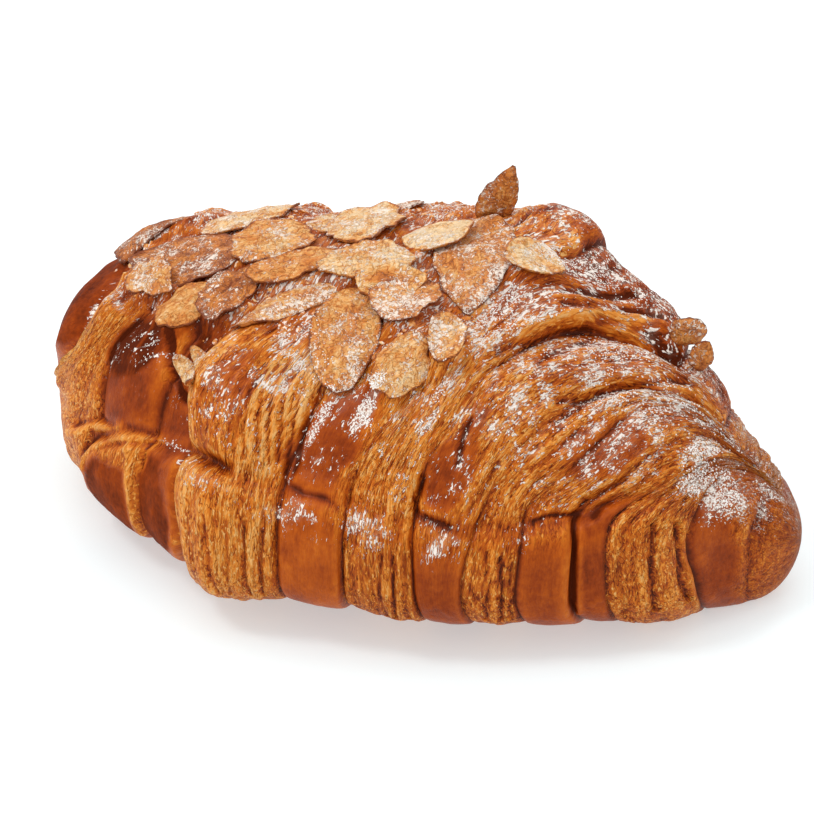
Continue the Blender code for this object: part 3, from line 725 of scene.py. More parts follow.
RIDGES = (  # height, width, tone, then x and angle along the line: rounded golden lips
    (0.9, 1.1, 0.54, (-60.5, 2), (-57.5, 9), (-54.0, 14), (-47.0, 17.5), (-41.5, 18), (-37.0, 19)),
    (0.8, 0.9, 0.52, (-56.0, -16), (-55.4, -6), (-53.8, 2), (-51.5, 8), (-47.5, 12.5), (-43.0, 15.5)),
    (0.6, 0.7, 0.48, (-42.5, 15), (-41.0, 9), (-40.3, -4), (-40.5, -20)),
    (0.3, 0.6, 0.58, (-15.0, 44), (-17.0, 36), (-16.9, 30)),
    (0.3, 0.6, 0.58, (-11.6, 44), (-12.9, 38), (-12.0, 28)),
    (0.5, 0.8, 0.56, (26.5, 60), (31.0, 69), (36.5, 79), (43.0, 85)),
)
DEGREE = 0.5  # millimetres round the loaf to one degree
CREASE_PAINTED_SHADE = 0.12  # painted shade: how much darker the colour of a crease of one millimetre is


def beside_line(points):
    """Distance of every point of the net from a line, and which side of it the point is on."""
    nearest, side = np.full(x.shape, 1e9), np.zeros(x.shape)
    for (x0, a0), (x1, a1) in zip(points, points[1:]):
        dx, da = x1 - x0, (a1 - a0) * DEGREE
        px, pa = x - x0, (angle - a0) * DEGREE
        t = np.clip((px * dx + pa * da) / (dx * dx + da * da), 0, 1)
        away = np.hypot(px - t * dx, pa - t * da)
        closer = away < nearest
        nearest = np.where(closer, away, nearest)
        side = np.where(closer, np.sign(px * da - pa * dx) * np.sign(da if da else 1), side)
    return nearest, side


pressed, lifted = np.zeros(x.shape), np.zeros(x.shape)
wander = 0.55 * lumps(grain / (3.0, 4.0, 4.0), 3)
for depth, width, lift, *points in CREASES:
    away, side = beside_line(points)
    away = np.abs(away + wander * ramp(away, 0, 2) * 0.5)
    pressed = np.maximum(pressed, depth * np.exp(-((away / width) ** 2)))
    # painted shade: the colour darkens along each crease
    tone = tone - CREASE_PAINTED_SHADE * depth * np.exp(-((away / (0.8 * width)) ** 2))
    lifted = lifted + lift * np.exp(-(((away - 2 * width) / (1.5 * width)) ** 2)) * (side > 0)
for rise, width, lip_tone, *points in RIDGES:
    away, side = beside_line(points)
    near = np.exp(-(((away + 0.3 * wander) / width) ** 2))
    lifted = lifted + rise * near
    tone, layered = mixed(tone, lip_tone, near), mixed(layered, 0.6, near)
print("deepest crease:", pressed.max().round(2), "mm")

# %% [markdown]
# ## Relief of the layers, the skin and the top
# Cut layers tear into ridges with sharp little valleys, which noise gives where it crosses zero. Skin
# has soft dents and small blisters. Under the almonds lies baked almond cream, lumpy in all directions.
# Below, the number before a call of lumps is a height in millimetres, and the one that divides the
# places is the size of a lump.

# %% Fine relief
cream = window(x, -62, -54, 10, 18) * window(angle, 48, 60, 116, 128)  # where the almond cream lies
tone = mixed(tone, 0.46 + 0.14 * lumps(base / 3.0, 14), 0.85 * cream)
layered = mixed(layered, 0.5, cream)
bend = np.stack([1.2 * lumps(grain / 7.0, 4), 0 * x, 0 * x], -1)
wide_tears = lumps((grain + bend) / (2.1, 11.0, 11.0), 5)
thin_tears = lumps((grain + bend) / (1.15, 6.0, 6.0), 6)
tears = 0.30 * np.exp(-((wide_tears / 0.12) ** 2)) + 0.22 * np.exp(-((thin_tears / 0.16) ** 2))
ridges = 0.16 * wide_tears + 0.14 * thin_tears + 0.22 * lumps(grain / (4.5, 6.0, 6.0), 7)
dents = 0.30 * lumps(base / 7.0, 8) + 0.10 * lumps(base / 2.6, 9)
blisters = 0.22 * np.clip(lumps(base / 1.7, 10) - 0.35, 0, 1)
curds = 0.6 + 0.60 * lumps(base / 3.2, 11) + 0.38 * lumps(base / 1.4, 12)
fine = layered * (ridges - tears) + (1 - layered) * (dents + blisters)
fine = fine * (1 - 0.6 * cream) + curds * cream
print("fine relief:", fine.min().round(2), "to", fine.max().round(2), "mm")

# %% [markdown]
# ## Cream that holds the slices
# The slices of the solid lie a little over the crust. In the oven the cream rises round them, so from
# every point of the net a line is sent outward from below: where it meets a slice, the crust comes up
# into it, and spreading that rise over its neighbours makes a fillet round each slice. Round each slice
# the crust is then darkened with painted shade, and less sugar lies there.

# %% Points of the crust
UNDER = 3.0  # how far under the crust the lines start
MOST_RISE = 2.6
SUNK = 0.12  # how far the cream goes into a slice
FILLET_ROWS, FILLET_FALL = 2, 0.9  # how far the rise spreads, and what is left of it at each step
HOLLOW_SPREAD, FULL_HOLLOW = 7, 0.45  # painted shade and light: how far the height is blurred, and the depth that gets the full shade
FREE = ("standing", "back_lobe", "back_flake", "sliver_left", "sliver_right")  # stand clear of the cream


def blurred(values, times):
    """Values of the net averaged with their neighbours, over and over."""
    for _ in range(times):
        values = (values + np.roll(values, 1, 1) + np.roll(values, -1, 1)) / 3
        inner = (values[2:] + values[1:-1] + values[:-2]) / 3
        values = np.concatenate([values[:1], inner, values[-1:]])
    return values


def rise_to_slices(surface, directions, chosen):
    """How far the crust must rise at chosen points of the net to meet the slice over each."""
    slices = bmesh.new()
    for name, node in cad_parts.items():
        if name.startswith("almond_") and name.removeprefix("almond_") not in FREE:
            slices.from_mesh(node.data)
    tree = BVHTree.FromBMesh(slices)
    slices.free()
    rise = np.zeros(surface.shape[:2])
    for spot in map(tuple, np.argwhere(chosen)):
        out = Vector(directions[spot])
        below = Vector(surface[spot] + CENTRE_SHIFT) * MM - out * UNDER * MM
        place, _, _, distance = tree.ray_cast(below, out, (UNDER + MOST_RISE) * MM)
        if place is not None:
            rise[spot] = distance / MM - UNDER + SUNK
    return rise


swell = 0.5 * np.sin(x / 7.3 + 1.3 * np.sin(turn)) + 0.4 * np.sin(3 * turn + x / 11)  # two slow waves
relief = MELTED_HEIGHT + (relief - MELTED_HEIGHT) * left_over(MELTED, x, angle)
relief = relief * left_over(CALM, x, angle) + seam_relief(x, angle) + swell
for middle, at, wide, tall, depth in PRESSED:
    dent = np.exp(-(((wrap - middle) / wide) ** 2) - ((angle - at) / tall) ** 2)
    relief = relief - depth * dent * ((wrap >= middle - 0.03) | (depth < 0))
height = relief + fine - pressed + lifted
fading = window(x, LEFT, LEFT + 12, RIGHT - 7, RIGHT) * (0.3 + 0.7 * ramp(base[..., 2], -2, 10))
directions = outward(x, angle)
crust = base + directions * (height * fading)[..., None]
under_slices = (angle > 30) & (angle < 150) & (x > -68) & (x < 40)
rise = rise_to_slices(crust, directions, under_slices)
spread = np.maximum(rise, 0)
for _ in range(FILLET_ROWS):
    from_beside = [FILLET_FALL * np.roll(spread, way, axis) for way in (-1, 1) for axis in (0, 1)]
    spread = np.maximum.reduce([spread, *from_beside])
rise = np.where(rise != 0, rise, blurred(spread, 3))
gaps = blurred((rise != 0).astype(float), 2) * ramp(cream, 0, 0.3)  # painted shade round the slices; the sugar thins here too
# painted shade: the crust darkens beside the slices
tone = tone - 0.11 * gaps
crust += directions * (rise * fading)[..., None]
crust[..., 2] = np.maximum(crust[..., 2], 0)
crust += CENTRE_SHIFT
# painted light and shade: the colour darkens where the height lies below its blurred surroundings and
# lightens where it stands above
hollow = np.clip((blurred(height, HOLLOW_SPREAD) - height) / FULL_HOLLOW, -1, 1)
print("crust:", (crust.max((0, 1)) - crust.min((0, 1))).round(1), "mm")

# %% [markdown]
# ## Where the sugar fell
# Icing sugar was dusted over the top by hand, so it lies thick in a few places, thin on every shoulder
# that looks up, and nowhere under an overhang. Patches as before give the thick places, and the slope of
# the crust gives the rest. Thin white lines on the ridges of the dark wrap are painted highlights, laid
# into the same map.

# %% Sugar map
DUSTED = (  # middle: wrap and share, angle; half sizes: wraps, degrees; how much
    (6.52, 55, 0.36, 9, 0.43), (6.8, 60, 0.4, 10, 0.45), (6.3, 65, 0.4, 12, 0.47),
    (6.1, 84, 0.45, 14, 0.45), (7.41, 74, 0.4, 14, 0.45), (8.08, 71, 0.45, 14, 0.46),
    (8.79, 76, 0.5, 16, 0.47), (9.53, 76, 0.5, 18, 0.46), (11.5, 48, 0.62, 14, 0.5),
    (12.4, 42, 0.5, 16, 0.5), (12.9, 70, 0.7, 22, 0.52), (10.6, 62, 0.6, 14, 0.52),
    (12, 56, 0.6, 12, 0.5), (13.2, 44, 0.4, 14, 0.46), (9.9, 52, 0.6, 10, 0.36), (8.4, 60, 0.5, 8, 0.46),
    (5.15, 36, 0.12, 9, 0.52), (5.38, 28, 0.22, 4, 0.3), (5.7, 40, 0.16, 7, 0.6),
    (6.55, 43, 0.2, 6, 0.48), (6.7, 36, 0.2, 6, 0.48), (7.6, 40, 0.3, 8, 0.42), (7, 26, 0.3, 4, 0.34),
    (4.19, 54, 0.15, 5, 0.3), (4.49, 56, 0.25, 6, 0.48), (4.42, 38, 0.2, 10, 0.34),
    (4.3, 44, 0.14, 6, 0.4), (4.85, 46, 0.3, 8, 0.42), (5.16, 15, 0.5, 5, 0.42), (6.35, 14, 0.6, 6, 0.39),
    (7.48, 12, 0.5, 6, 0.39), (8.9, 15, 0.3, 4, 0.32), (4.3, 20, 0.3, 3, 0.34),
    (7.12, 116, 0.5, 14, 0.42), (0.8, 58, 0.1, 10, 0.5), (1.4, 82, 0.3, 10, 0.44),
    (2.1, 38, 0.12, 4, 0.32), (9, 56, 0.4, 8, 0.34), (8.2, 52, 0.3, 8, 0.4), (3.5, 80, 0.8, 14, 0.42),
    (5, 80, 0.8, 14, 0.46), (9.7, 30, 0.3, 5, 0.3), (7.9, 62, 0.6, 12, 0.46), (9, 66, 0.6, 12, 0.46),
    (7.3, 50, 0.5, 10, 0.4), (8.4, 46, 0.5, 8, 0.38), (7.9, 32, 0.3, 6, 0.36), (6.9, 104, 1.3, 22, 0.43),
)
PAINTED_HIGHLIGHT_LINES = (  # painted highlights: thin white lines in the sugar map on the ridges of the dark wrap, x and angle along each
    ((-49.2, 42), (-47.3, 46), (-44.0, 48), (-41.5, 48)),
    ((-46.4, 42), (-43.4, 44), (-39.4, 47)),
    ((-44.6, 38), (-41.5, 41), (-37.9, 44)),
    ((-52.6, 34), (-52.0, 38), (-51.2, 43)),
    ((-37.0, 20), (-33.5, 21), (-30.0, 22)),
)
across_rows = np.gradient(crust, axis=0)
round_columns = (np.roll(crust, -1, 1) - np.roll(crust, 1, 1)) / 2
facing = np.cross(across_rows, round_columns)
facing = facing / (np.linalg.norm(facing, axis=-1, keepdims=True) + 1e-9)
facing = facing * np.sign((facing * outward(x, angle)).sum(-1).mean())
sugar = (0.12 + 0.19 * ramp(facing[..., 2], 0.3, 0.9) + 0.11 * ramp(x, 0, 35)) * upper
sugar = sugar * (0.3 * ramp(wrap, 1.0, 2.0) + 0.7 * ramp(wrap, 3.4, 4.1))
scatter = 0.30 * lumps(base / 6.0, 13)
for *place, amount in DUSTED:
    sugar = np.maximum(sugar, amount * ramp(-(from_middle(*place) + scatter), -1.5, -0.3))
# painted highlights: thin white lines along the ridges of the dark wrap
for points in PAINTED_HIGHLIGHT_LINES:
    sugar = np.maximum(sugar, 0.52 * np.exp(-((beside_line(points)[0] / 0.28) ** 2)))
# the sugar thins where the painted shade beside the slices lies
sugar = np.maximum(sugar, 0.42 * cream) * (1 - 0.12 * gaps) * ramp(facing[..., 2], -0.1, 0.35)
print("sugared share of the net:", (sugar > 0.3).mean().round(2))

# %% [markdown]
# ## The crust's mesh
# `create_uvsphere` gives a closed net with the same rows and columns, so each of its vertices only has
# to be moved to its place. Its poles close the tips, and no seam has to be sewn. The maps go along as
# attributes, which the material reads where it needs them.


# %% Build the crust
def keep_attribute(data, name, values):
    """Store a value or a vector for each vertex of a mesh."""
    vector = np.ndim(values) == 2
    kept = data.attributes.new(name, "FLOAT_VECTOR" if vector else "FLOAT", "POINT")
    kept.data.foreach_set("vector" if vector else "value", np.asarray(values, np.float32).ravel())


def link_piece(data, name, material):
    """A mesh as a named, smooth piece that rides with the croissant."""
    data.materials.append(material)
    data.shade_smooth()
    piece = placed(name, data)
    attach(piece, "root")
    return piece


def moved_mesh(mesh, places, name):
    """A bmesh with its vertices moved to places in millimetres, as a mesh with its faces outward."""
    for vert, place in zip(mesh.verts, places):
        vert.co = Vector(place) * MM
    if mesh.calc_volume(signed=True) < 0:
        bmesh.ops.reverse_faces(mesh, faces=mesh.faces)
    return as_mesh(mesh, name)


def crust_data():
    """The crust's mesh with its maps."""
    lines, columns = len(rows) + 1, angle.shape[1]
    mesh = bmesh.new()
    bmesh.ops.create_uvsphere(mesh, u_segments=columns, v_segments=lines, radius=1)
    mesh.verts.index_update()
    mesh.faces.sort(key=lambda face: sum(vert.index**2 for vert in face.verts))  # the same in every run
    globe = np.array([v.co for v in mesh.verts])
    row = np.rint(np.arccos(np.clip(globe[:, 2], -1, 1)) / math.pi * lines).astype(int)
    column = np.rint(np.arctan2(globe[:, 1], globe[:, 0]) / (2 * math.pi) * columns).astype(int) % columns
    inner = np.clip(row - 1, 0, len(rows) - 1)
    places = crust[inner, column]
    places[row == 0] = np.array((LEFT, *HORN_POLE)) + CENTRE_SHIFT
    places[row == lines] = np.array((RIGHT, *NOSE_POLE)) + CENTRE_SHIFT
    data = moved_mesh(mesh, places, "crust")
    maps = {"tone": tone, "layered": layered, "hollow": hollow, "sugar": sugar, "cream": cream}
    for name, values in {**maps, "grain": grain}.items():
        keep_attribute(data, name, values[inner, column])
    return data


crust_mesh = crust_data()
print("crust:", len(crust_mesh.polygons), "faces")

# %% [markdown]
# ## The crust's material
# Baked colour runs from near black in the burnt dents through red-brown and amber to pale gold, so one
# ramp holds it and the maps only choose a place on it. Fibres along the dough push that place up and
# down. Painted shade pushes it down in hollows and cracks, painted light pushes it up on crests and in
# small glints, and sugar lies over the colour as white speckles that are matt where the crust shines.


# %% Crust material
BAKED = (
    (0.00, (0.095, 0.013, 0.002)),
    (0.18, (0.270, 0.040, 0.004)),
    (0.36, (0.450, 0.085, 0.006)),
    (0.55, (0.620, 0.160, 0.012)),
    (0.75, (0.820, 0.300, 0.045)),
    (1.00, (0.880, 0.460, 0.150)),
)
SUGAR_WHITE = (0.98, 0.89, 0.81, 1)
SUGAR_HAZE = (0.88, 0.66, 0.52, 1)


def crust_material():
    """Skin, layers, burnt dents and sugar of the crust, with its painted light and shade."""
    material, start, shader = new_material("baked crust")
    grain = attribute(start, "grain", "Vector")
    place = own_places(start)
    tone, layered = attribute(start, "tone"), attribute(start, "layered")
    hollow, sugar, cream = attribute(start, "hollow"), attribute(start, "sugar"), attribute(start, "cream")
    fibres = grain.stretched(1.0, 0.16, 0.16).noise(1.3, 4.0, 0.72, 0.6)
    threads = grain.stretched(1.0, 0.36, 0.36).noise(2.5, 2.0, 0.65, 0.6)
    blotches = place.noise(150.0, 3.0, 0.55)
    freckles = place.noise(900.0, 2.0, 0.6)
    # cracks: thin grooves along the layers, darkened with painted shade
    cracks = 1 - abs(grain.stretched(1.0, 0.30, 0.30).noise(0.8, 2.0, 0.6, 1.4) - 0.5).between(0.0, 0.03)
    # glints: painted highlights, small specks that lighten the colour where the glaze would sparkle
    glints = grain.stretched(1.0, 0.42, 0.42).noise(3.4, 1.0, 0.5, 0.6).between(0.57, 0.69)
    rough = layered * 0.85 + 0.15
    level = tone + (fibres - 0.5) * 1.05 * rough + (threads - 0.5) * 1.25 * rough
    # painted light and shade: the glints lighten the colour, the cracks darken it
    level = level + (glints * 0.60 - cracks * 0.36) * rough * (tone * 1.8 - 0.10)
    # painted shade in hollows, painted light on crests
    level = level + (blotches - 0.5) * 0.34 + (freckles - 0.5) * 0.20 - hollow * 0.24
    baked = level.ramp(BAKED)
    grains = grain.stretched(1.0, 0.65, 0.65).noise(2.2, 2.0, 0.75, 0.8)
    drifts = place.noise(300.0, 2.0, 0.55)
    dusted = ((grains - 0.5) * 1.7 + sugar * 0.725 + (drifts - 0.5) * 0.9).between(0.38, 0.47)
    dusted = dusted * sugar.between(0.02, 0.12)
    haze = (sugar * 1.5 + (drifts - 0.5) * 1.2).between(0.40, 1.0) * 0.20
    burnt = 1 - tone.between(0.08, 0.20)
    connect(start, shader, {
        "Base Color": baked.over(haze, SUGAR_HAZE).over(dusted * 0.92, SUGAR_WHITE),
        "Roughness": (layered * 0.12 + 0.36 + burnt * 0.45 + (fibres - 0.5) * 0.2) + dusted * 0.35,
        "Coat Weight": (0.07 + layered * 0.05) * (1 - dusted) * (1 - burnt * 0.8),
    })
    shader.inputs["Coat Roughness"].default_value = 0.22
    shader.inputs["IOR"].default_value = 1.13
    relief = (fibres * 0.6 + threads * 0.5 + glints * 0.12 - cracks * 0.15) * rough + freckles * 0.10
    relief = relief + cream * place.noise(700.0, 3.0, 0.65) * 0.7
    connect(start, shader, {"Normal": dusted.bump(0.15, relief.bump(1.0))})
    return material


crust_piece = link_piece(crust_mesh, "crust", crust_material())
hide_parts("croissant")
print("crust dressed")

# %% [markdown]
# ## Almond slices
# A flaked almond is a thin slice through the nut: pale flesh, a ring that toasts first and a thread of
# brown skin at the rim. The solids have their places, outlines and bends, so each slice here starts as a
# copy of its solid. Its loose triangles are merged, cut finer, and then pushed about: the rim is nibbled,
# the sheet cockles and the faces get the fine grain of the cut.


# %% What is known of each slice
USUAL = {
    "grown": 0.06,  # share by which its outline grows
    "rounded": 0.35,  # from 0, its own outline, to 1, an oval
    "torn": 1,  # how ragged its rim is
    "cupped": 0,  # how far its rim stands up
    "moved": (0, 0, 0),
    "turned": 0,  # degrees, seen from outside
    "tipped": (0, 0),  # rise over run, to the left and to the back
    "dark_middle": 0,
}
SLICES = {  # toast: how brown, from 0 to 1
    "dusted_oval": dict(toast=0.78, sugar=0.35, torn=1.6),
    "golden": dict(toast=0.46, sugar=0.06, torn=1.6),
    "corner": dict(toast=0.50, sugar=0.44, torn=3.0),
    "brown": dict(toast=0.84, sugar=0.34, torn=2.2),
    "tan": dict(toast=0.42, sugar=0.36, torn=1.8),
    "strip": dict(toast=0.50, sugar=0.46, torn=2.0),
    "flat": dict(toast=0.54, sugar=0.24, torn=1.8),
    "left_tip": dict(toast=0.88, sugar=0.32, rounded=0, moved=(-1.6, 0, -0.8), tipped=(0.12, 0)),
    "pale_ridge": dict(toast=0.30, sugar=0.44, torn=1.8),
    "tip_top": dict(toast=0.36, sugar=0.44),
    "pale_up": dict(toast=0.27, sugar=0.42, torn=2.4),
    "pale_down": dict(toast=0.27, sugar=0.40, torn=2.4),
    "grey_top": dict(toast=0.70, sugar=0.60, torn=1.8),
    "long_front": dict(toast=0.51, sugar=0.38, grown=0.02, rounded=0.9, turned=13, dark_middle=0.10),
    "mid": dict(toast=0.58, sugar=0.46, grown=0.10),
    "pale_low": dict(toast=0.40, sugar=0.38, torn=1.8),
    "round_low": dict(toast=0.42, sugar=0.40, rounded=0.8),
    "triangle": dict(toast=0.62, sugar=0.41, rounded=0),
    "pale_oval": dict(toast=0.14, sugar=0.42, rounded=0.8, cupped=0.4),
    "curl": dict(toast=0.24, sugar=0.34, grown=0.12, cupped=0.9, dark_middle=0.8,
                 moved=(0.8, 0, -2.3), tipped=(0, 0.5)),
    "right_small": dict(toast=0.28, sugar=0.44, rounded=0.8, cupped=0.4),
    "sliver_left": dict(toast=0.36, sugar=0.40, grown=-0.16, moved=(0.6, -4.6, -1.8)),
    "sliver_right": dict(toast=0.42, sugar=0.40, grown=-0.14, moved=(0.6, -6.6, -4.6)),
    "standing": dict(toast=0.66, sugar=0.40, grown=0.12, rounded=0),
    "back_lobe": dict(toast=0.68, sugar=0.34),
    "back_flake": dict(toast=0.66, sugar=0.34),
}
print("slices listed:", len(SLICES))

# %% Slice meshes
SECTORS = 64  # directions in which the rim of a slice is measured
THIN_RIM, CURLED = 0.55, 0.9


def flat_axes(points):
    """Middle of a thin slice and its long, short and thin axes."""
    middle = points.mean(axis=0)
    axes = np.linalg.svd(points - middle, full_matrices=False)[2]
    return middle, axes


def rim_share(local):
    """How far out each point lies, from 0 in the middle to 1 at the rim, and how far off that rim is."""
    sector = (np.arctan2(local[:, 1], local[:, 0]) + math.pi) / (2 * math.pi) * SECTORS
    radius = np.hypot(local[:, 0], local[:, 1])
    reach = np.zeros(SECTORS)
    np.maximum.at(reach, np.floor(sector).astype(int) % SECTORS, radius)
    reach = np.maximum(reach, 0.5 * (np.roll(reach, 1) + np.roll(reach, -1)))
    reach = np.interp(sector - 0.5, np.arange(SECTORS), reach)
    return np.clip(radius / reach, 0, 1), reach


def fitted_sheet(local):
    """Heights of the smooth curved sheet that lies nearest to all points of a slice."""
    a, b = local[:, 0], local[:, 1]
    terms = np.stack([a**0, a, b, a**2, a * b, b**2], -1)
    return terms @ np.linalg.lstsq(terms, local[:, 2], rcond=None)[0]


def fine_copy(name):
    """A bmesh of a solid slice, merged, cut finer and smoothed."""
    mesh = bmesh.new()
    mesh.from_mesh(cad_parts["almond_" + name].data)
    bmesh.ops.remove_doubles(mesh, verts=mesh.verts, dist=1e-7)
    bmesh.ops.subdivide_edges(mesh, edges=mesh.edges, cuts=5, use_grid_fill=True)
    every_way = dict(use_axis_x=True, use_axis_y=True, use_axis_z=True)
    bmesh.ops.smooth_vert(mesh, verts=mesh.verts, factor=0.35, **every_way)
    return mesh


def slice_data(name, seed):
    """A slice's mesh, finer and less regular than its solid, with its maps."""
    own = {**USUAL, **SLICES[name]}
    mesh = fine_copy(name)
    points = np.array([v.co for v in mesh.verts]) / MM
    normals = np.array([v.normal for v in mesh.verts])
    middle, axes = flat_axes(points)
    skyward = np.sign(axes[2][2])
    local = (points - middle) @ axes.T
    centre = (local[:, :2].max(axis=0) + local[:, :2].min(axis=0)) / 2
    local[:, :2] -= centre
    share, reach = rim_share(local)
    sheet = fitted_sheet(local)
    thickness = (local[:, 2] - sheet) * (1 - THIN_RIM * ramp(share, 0.65, 1.0))
    leaf = local + (0, 0, 9.0 * seed)
    bearing = np.arctan2(local[:, 1], local[:, 0])
    edge = np.stack([2.4 * np.cos(bearing), 2.4 * np.sin(bearing), 3.0 * seed + 0 * bearing], -1)
    nibble = 0.06 * lumps(edge, 21) + 0.04 * lumps(edge * 2.3, 22) + 0.012 * lumps(edge * 6.0, 26)
    half = local[:, :2].max(axis=0)
    oval = half[0] * half[1] / np.hypot(half[1] * np.cos(bearing), half[0] * np.sin(bearing))
    wider = own["grown"] + own["torn"] * nibble + own["rounded"] * (oval / reach - 1)
    curl = CURLED * np.clip(lumps(edge * 0.7, 27) + 0.2, 0, 1) * share**4 + own["cupped"] * share**2
    cockle = 0.38 * lumps(leaf / 4.5, 23) * share + 0.22 * lumps(leaf / 1.7, 28)
    cut = (0.22 * lumps(leaf / 1.3, 24) + 0.10 * lumps(leaf / 0.65, 25)) * (1 - share**6)
    turned = math.radians(own["turned"]) * skyward * np.sign(np.linalg.det(axes))
    spin = np.array(((math.cos(turned), math.sin(turned)), (-math.sin(turned), math.cos(turned))))
    local[:, :2] = centre + local[:, :2] * (1 + (wider * share)[:, None]) @ spin
    local[:, 2] = sheet + thickness + curl * skyward + cockle
    places = middle + local @ axes + normals * cut[:, None] + own["moved"]
    to_left, to_back = own["tipped"]
    places[:, 2] += to_left * (middle[0] - places[:, 0]) + to_back * (places[:, 1] - middle[1])
    data = moved_mesh(mesh, places, f"almond_{name}_slice")
    upward = np.array([v.normal.z for v in data.vertices]) + 0.4 * (name in FREE)
    keep_attribute(data, "leaf", leaf)
    keep_attribute(data, "rim", share)
    keep_attribute(data, "toast", own["toast"] + own["dark_middle"] * (1 - share) ** 1.5)
    keep_attribute(data, "sugar", own["sugar"] * ramp(upward, -0.05, 0.30))
    return data


slice_meshes = {name: slice_data(name, seed) for seed, name in enumerate(SLICES)}
print("slices:", len(slice_meshes), "with", sum(len(d.polygons) for d in slice_meshes.values()), "faces")

# %% [markdown]
# ## Toasted almond
# One material does for all slices, because each carries its own toasting as a map. The ramp runs from
# ivory through honey to nut brown, the rim stands further along it as brown skin darkened with painted
# shade, streaks run the slice's length, and thin wrinkles cross it, darkened with painted shade.


# %% Almond material
TOASTED = (
    (0.00, (0.920, 0.650, 0.360)),
    (0.25, (0.810, 0.400, 0.120)),
    (0.50, (0.670, 0.212, 0.032)),
    (0.75, (0.460, 0.128, 0.024)),
    (1.00, (0.250, 0.055, 0.012)),
)


def almond_material():
    """Flesh, toasted ring, rim skin, sugar and painted shade of a flaked almond."""
    material, start, shader = new_material("toasted almond")
    leaf = attribute(start, "leaf", "Vector")
    rim, toast, sugar = attribute(start, "rim"), attribute(start, "toast"), attribute(start, "sugar")
    streaks = leaf.stretched(0.22, 1.0, 1.0).noise(0.9, 3.0, 0.6, 0.6)
    clouds = leaf.noise(0.32, 2.0, 0.5)
    pores = leaf.noise(1.5, 3.0, 0.75, 0.6)
    # thin wrinkles, pressed in by the bump and darkened in colour as painted shade
    shaded_wrinkles = 1 - abs(leaf.noise(0.55, 2.0, 0.6, 1.0) - 0.5).between(0.0, 0.045)
    ring = rim.between(0.60, 0.93)
    # the brown skin at the rim, darkened further with painted shade
    skin = (rim + (clouds - 0.5) * 0.12).between(0.93, 0.985)
    level = toast + (streaks - 0.5) * 0.80 + (clouds - 0.5) * 0.85 + (pores - 0.5) * 1.0
    # the rim's skin and the wrinkles darken the colour, partly with painted shade
    level = level + ring * 0.08 + skin * 0.48 + shaded_wrinkles * 0.24 - 0.16
    grains = leaf.noise(1.7, 2.0, 0.75, 0.8)
    drifts = leaf.noise(0.25, 2.0, 0.55)
    dusted = ((grains - 0.5) * 1.7 + sugar * 0.75 + (drifts - 0.5) * 1.1).between(0.38, 0.50)
    dusted = dusted * sugar.between(0.02, 0.12)
    haze = (sugar * 1.5 + (drifts - 0.5) * 1.6).between(0.30, 1.0) * 0.12
    connect(start, shader, {
        "Base Color": level.ramp(TOASTED).over(haze, SUGAR_HAZE).over(dusted * 0.86, (1.0, 0.87, 0.75, 1)),
        "Roughness": pores * 0.2 + 0.34 + dusted * 0.3,
    })
    shader.inputs["Specular IOR Level"].default_value = 0.22
    relief = streaks * 0.5 + pores * 0.6 - shaded_wrinkles * 0.20
    connect(start, shader, {"Normal": dusted.bump(0.08, relief.bump(0.75))})
    return material


toasted_almond = almond_material()
slice_pieces = []
for name, data in slice_meshes.items():
    node = "almond_" + name
    slice_pieces.append(link_piece(data, node + "_slice", toasted_almond))
    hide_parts(node)
print("almonds dressed")

# %% [markdown]
# ## Crumbs and grains
# Between the slices lie crumbs of baked cream, and the sugar that didn't melt stands as little heaps.
# Each kind is one small lump of a few faces, repeated, turned and sized by chance, and joined into one
# mesh. They are dropped from above onto whatever is under them, as they were in life, so none hangs in
# the air.


# %% Scattering
GRAINS_DROPPED, CRUMBS_DROPPED = 5000, 900
DROPPED_FROM, AIM = 120.0, 0.35  # height, and how far beside its point a lump falls
STEEPEST = 0.15  # a lump stays only where the surface looks up more than this


def top_surface():
    """Everything laid so far, as one tree that can be hit from above."""
    mesh = bmesh.new()
    for piece in (crust_piece, *slice_pieces):
        mesh.from_mesh(piece.data)
    tree = BVHTree.FromBMesh(mesh)
    mesh.free()
    return tree


def lump_shape(seed, uneven, finer=1):
    """A small irregular lump of 20 faces, or of 80 if finer is 2, one unit across."""
    mesh = bmesh.new()
    bmesh.ops.create_icosphere(mesh, subdivisions=finer, radius=0.5)
    rng = np.random.default_rng(seed)
    for vert in mesh.verts:
        vert.co *= 1 + rng.uniform(-uneven, uneven)
    return as_mesh(mesh, "lump")


def scattered(name, shape, spots, sizes, sink, seed):
    """Copies of a shape set down at spots, each with a size for each axis, joined into one mesh."""
    rng = np.random.default_rng(seed)
    corners = np.array([v.co for v in shape.vertices])
    faces = np.array([tuple(f.vertices) for f in shape.polygons])
    places, joined = [], []
    for (spot, normal), size in zip(spots, sizes):
        spin = Matrix.Rotation(rng.uniform(0, 2 * math.pi), 3, "Z")
        stand = normal.to_track_quat("Z", "Y").to_matrix()
        moved = (corners * size) @ np.array(stand @ spin).T * MM
        joined.append(faces + len(places) * len(corners))
        places.append(moved + np.array(spot + normal * size[2] * sink * MM))
    data = bpy.data.meshes.new(name)
    data.from_pydata(np.concatenate(places).tolist(), [], np.concatenate(joined).tolist())
    data.update()
    return data


def drop(tree, rng, weights, count, crust_only=False):
    """Places and normals under points of the net that are drawn by weight and let fall."""
    area = np.linalg.norm(np.cross(across_rows, round_columns), axis=-1)
    chance = (weights * area).ravel()
    picked = rng.choice(chance.size, count, p=chance / chance.sum())
    spots = []
    for place in crust.reshape(-1, 3)[picked]:
        above = Vector((*(place[:2] + rng.normal(0, AIM, 2)), DROPPED_FROM)) * MM
        hit, normal, face, _ = tree.ray_cast(above, Vector((0, 0, -1)))
        if hit is not None and normal.z > STEEPEST and (face < len(crust_mesh.polygons) or not crust_only):
            spots.append((hit, normal))
    return spots


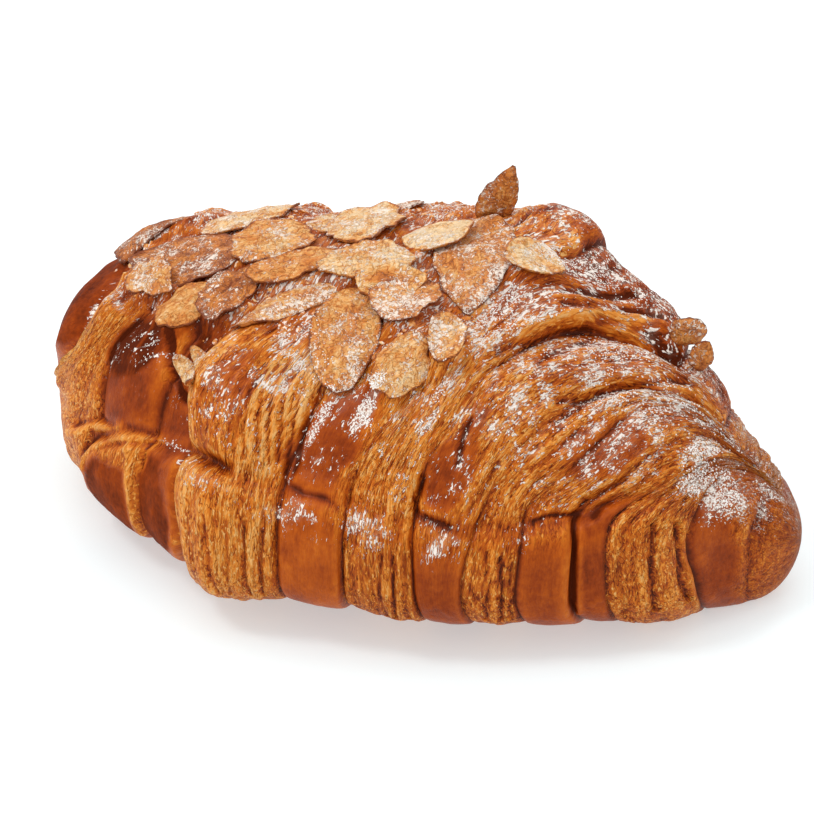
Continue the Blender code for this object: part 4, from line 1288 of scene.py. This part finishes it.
def lump_sizes(rng, spots, long, wide, tall):
    """A length in millimetres for each spot, and shares of it for the other two axes."""
    return [rng.uniform(*long) * np.array((1, rng.uniform(*wide), rng.uniform(*tall))) for _ in spots]


tree = top_surface()
rng = np.random.default_rng(40)
thick = np.clip(sugar - 0.40, 0, 1) ** 1.3 * ramp(facing[..., 2], 0.1, 0.6)
grain_spots = drop(tree, rng, thick, GRAINS_DROPPED)
grain_sizes = lump_sizes(rng, grain_spots, (0.20, 0.45), (0.6, 1.0), (0.3, 0.5))
grain_data = scattered("sugar_grains", lump_shape(1, 0.2), grain_spots, grain_sizes, 0.2, 41)
crumb_spots = drop(tree, rng, cream * (x < 20), CRUMBS_DROPPED, crust_only=True)
crumb_sizes = lump_sizes(rng, crumb_spots, (0.5, 1.4), (0.4, 0.9), (0.18, 0.35))
crumb_data = scattered("cream_crumbs", lump_shape(2, 0.22, 2), crumb_spots, crumb_sizes, 0.1, 42)
print("sugar grains:", len(grain_spots), " crumbs:", len(crumb_spots))


# %% Sugar and crumb materials
def sugar_material():
    """Icing sugar: white, matt, a little uneven."""
    material, start, shader = new_material("icing sugar")
    clots = own_places(start).noise(1200.0, 2.0, 0.6)
    connect(start, shader, {
        "Base Color": clots.ramp(((0.3, (0.80, 0.66, 0.56)), (0.6, (0.95, 0.91, 0.87)))),
        "Roughness": clots * 0.2 + 0.6,
        "Normal": clots.bump(0.1),
    })
    return material


def crumb_material():
    """Baked almond cream: toasted crumbs from gold to brown."""
    material, start, shader = new_material("baked cream")
    place = own_places(start)
    kind, pores = place.noise(260.0, 2.0, 0.5), place.noise(1100.0, 3.0, 0.65)
    level = (kind - 0.5) * 1.4 + (pores - 0.5) * 0.6 + 0.45
    dusted = place.noise(1500.0, 2.0, 0.6).between(0.50, 0.62)
    connect(start, shader, {
        "Base Color": level.ramp(TOASTED).over(dusted * 0.8, SUGAR_WHITE),
        "Roughness": pores * 0.3 + 0.4,
        "Normal": pores.bump(0.25),
    })
    return material


link_piece(grain_data, "sugar_grains", sugar_material())
link_piece(crumb_data, "cream_crumbs", crumb_material())
print("sugar and crumbs dressed")
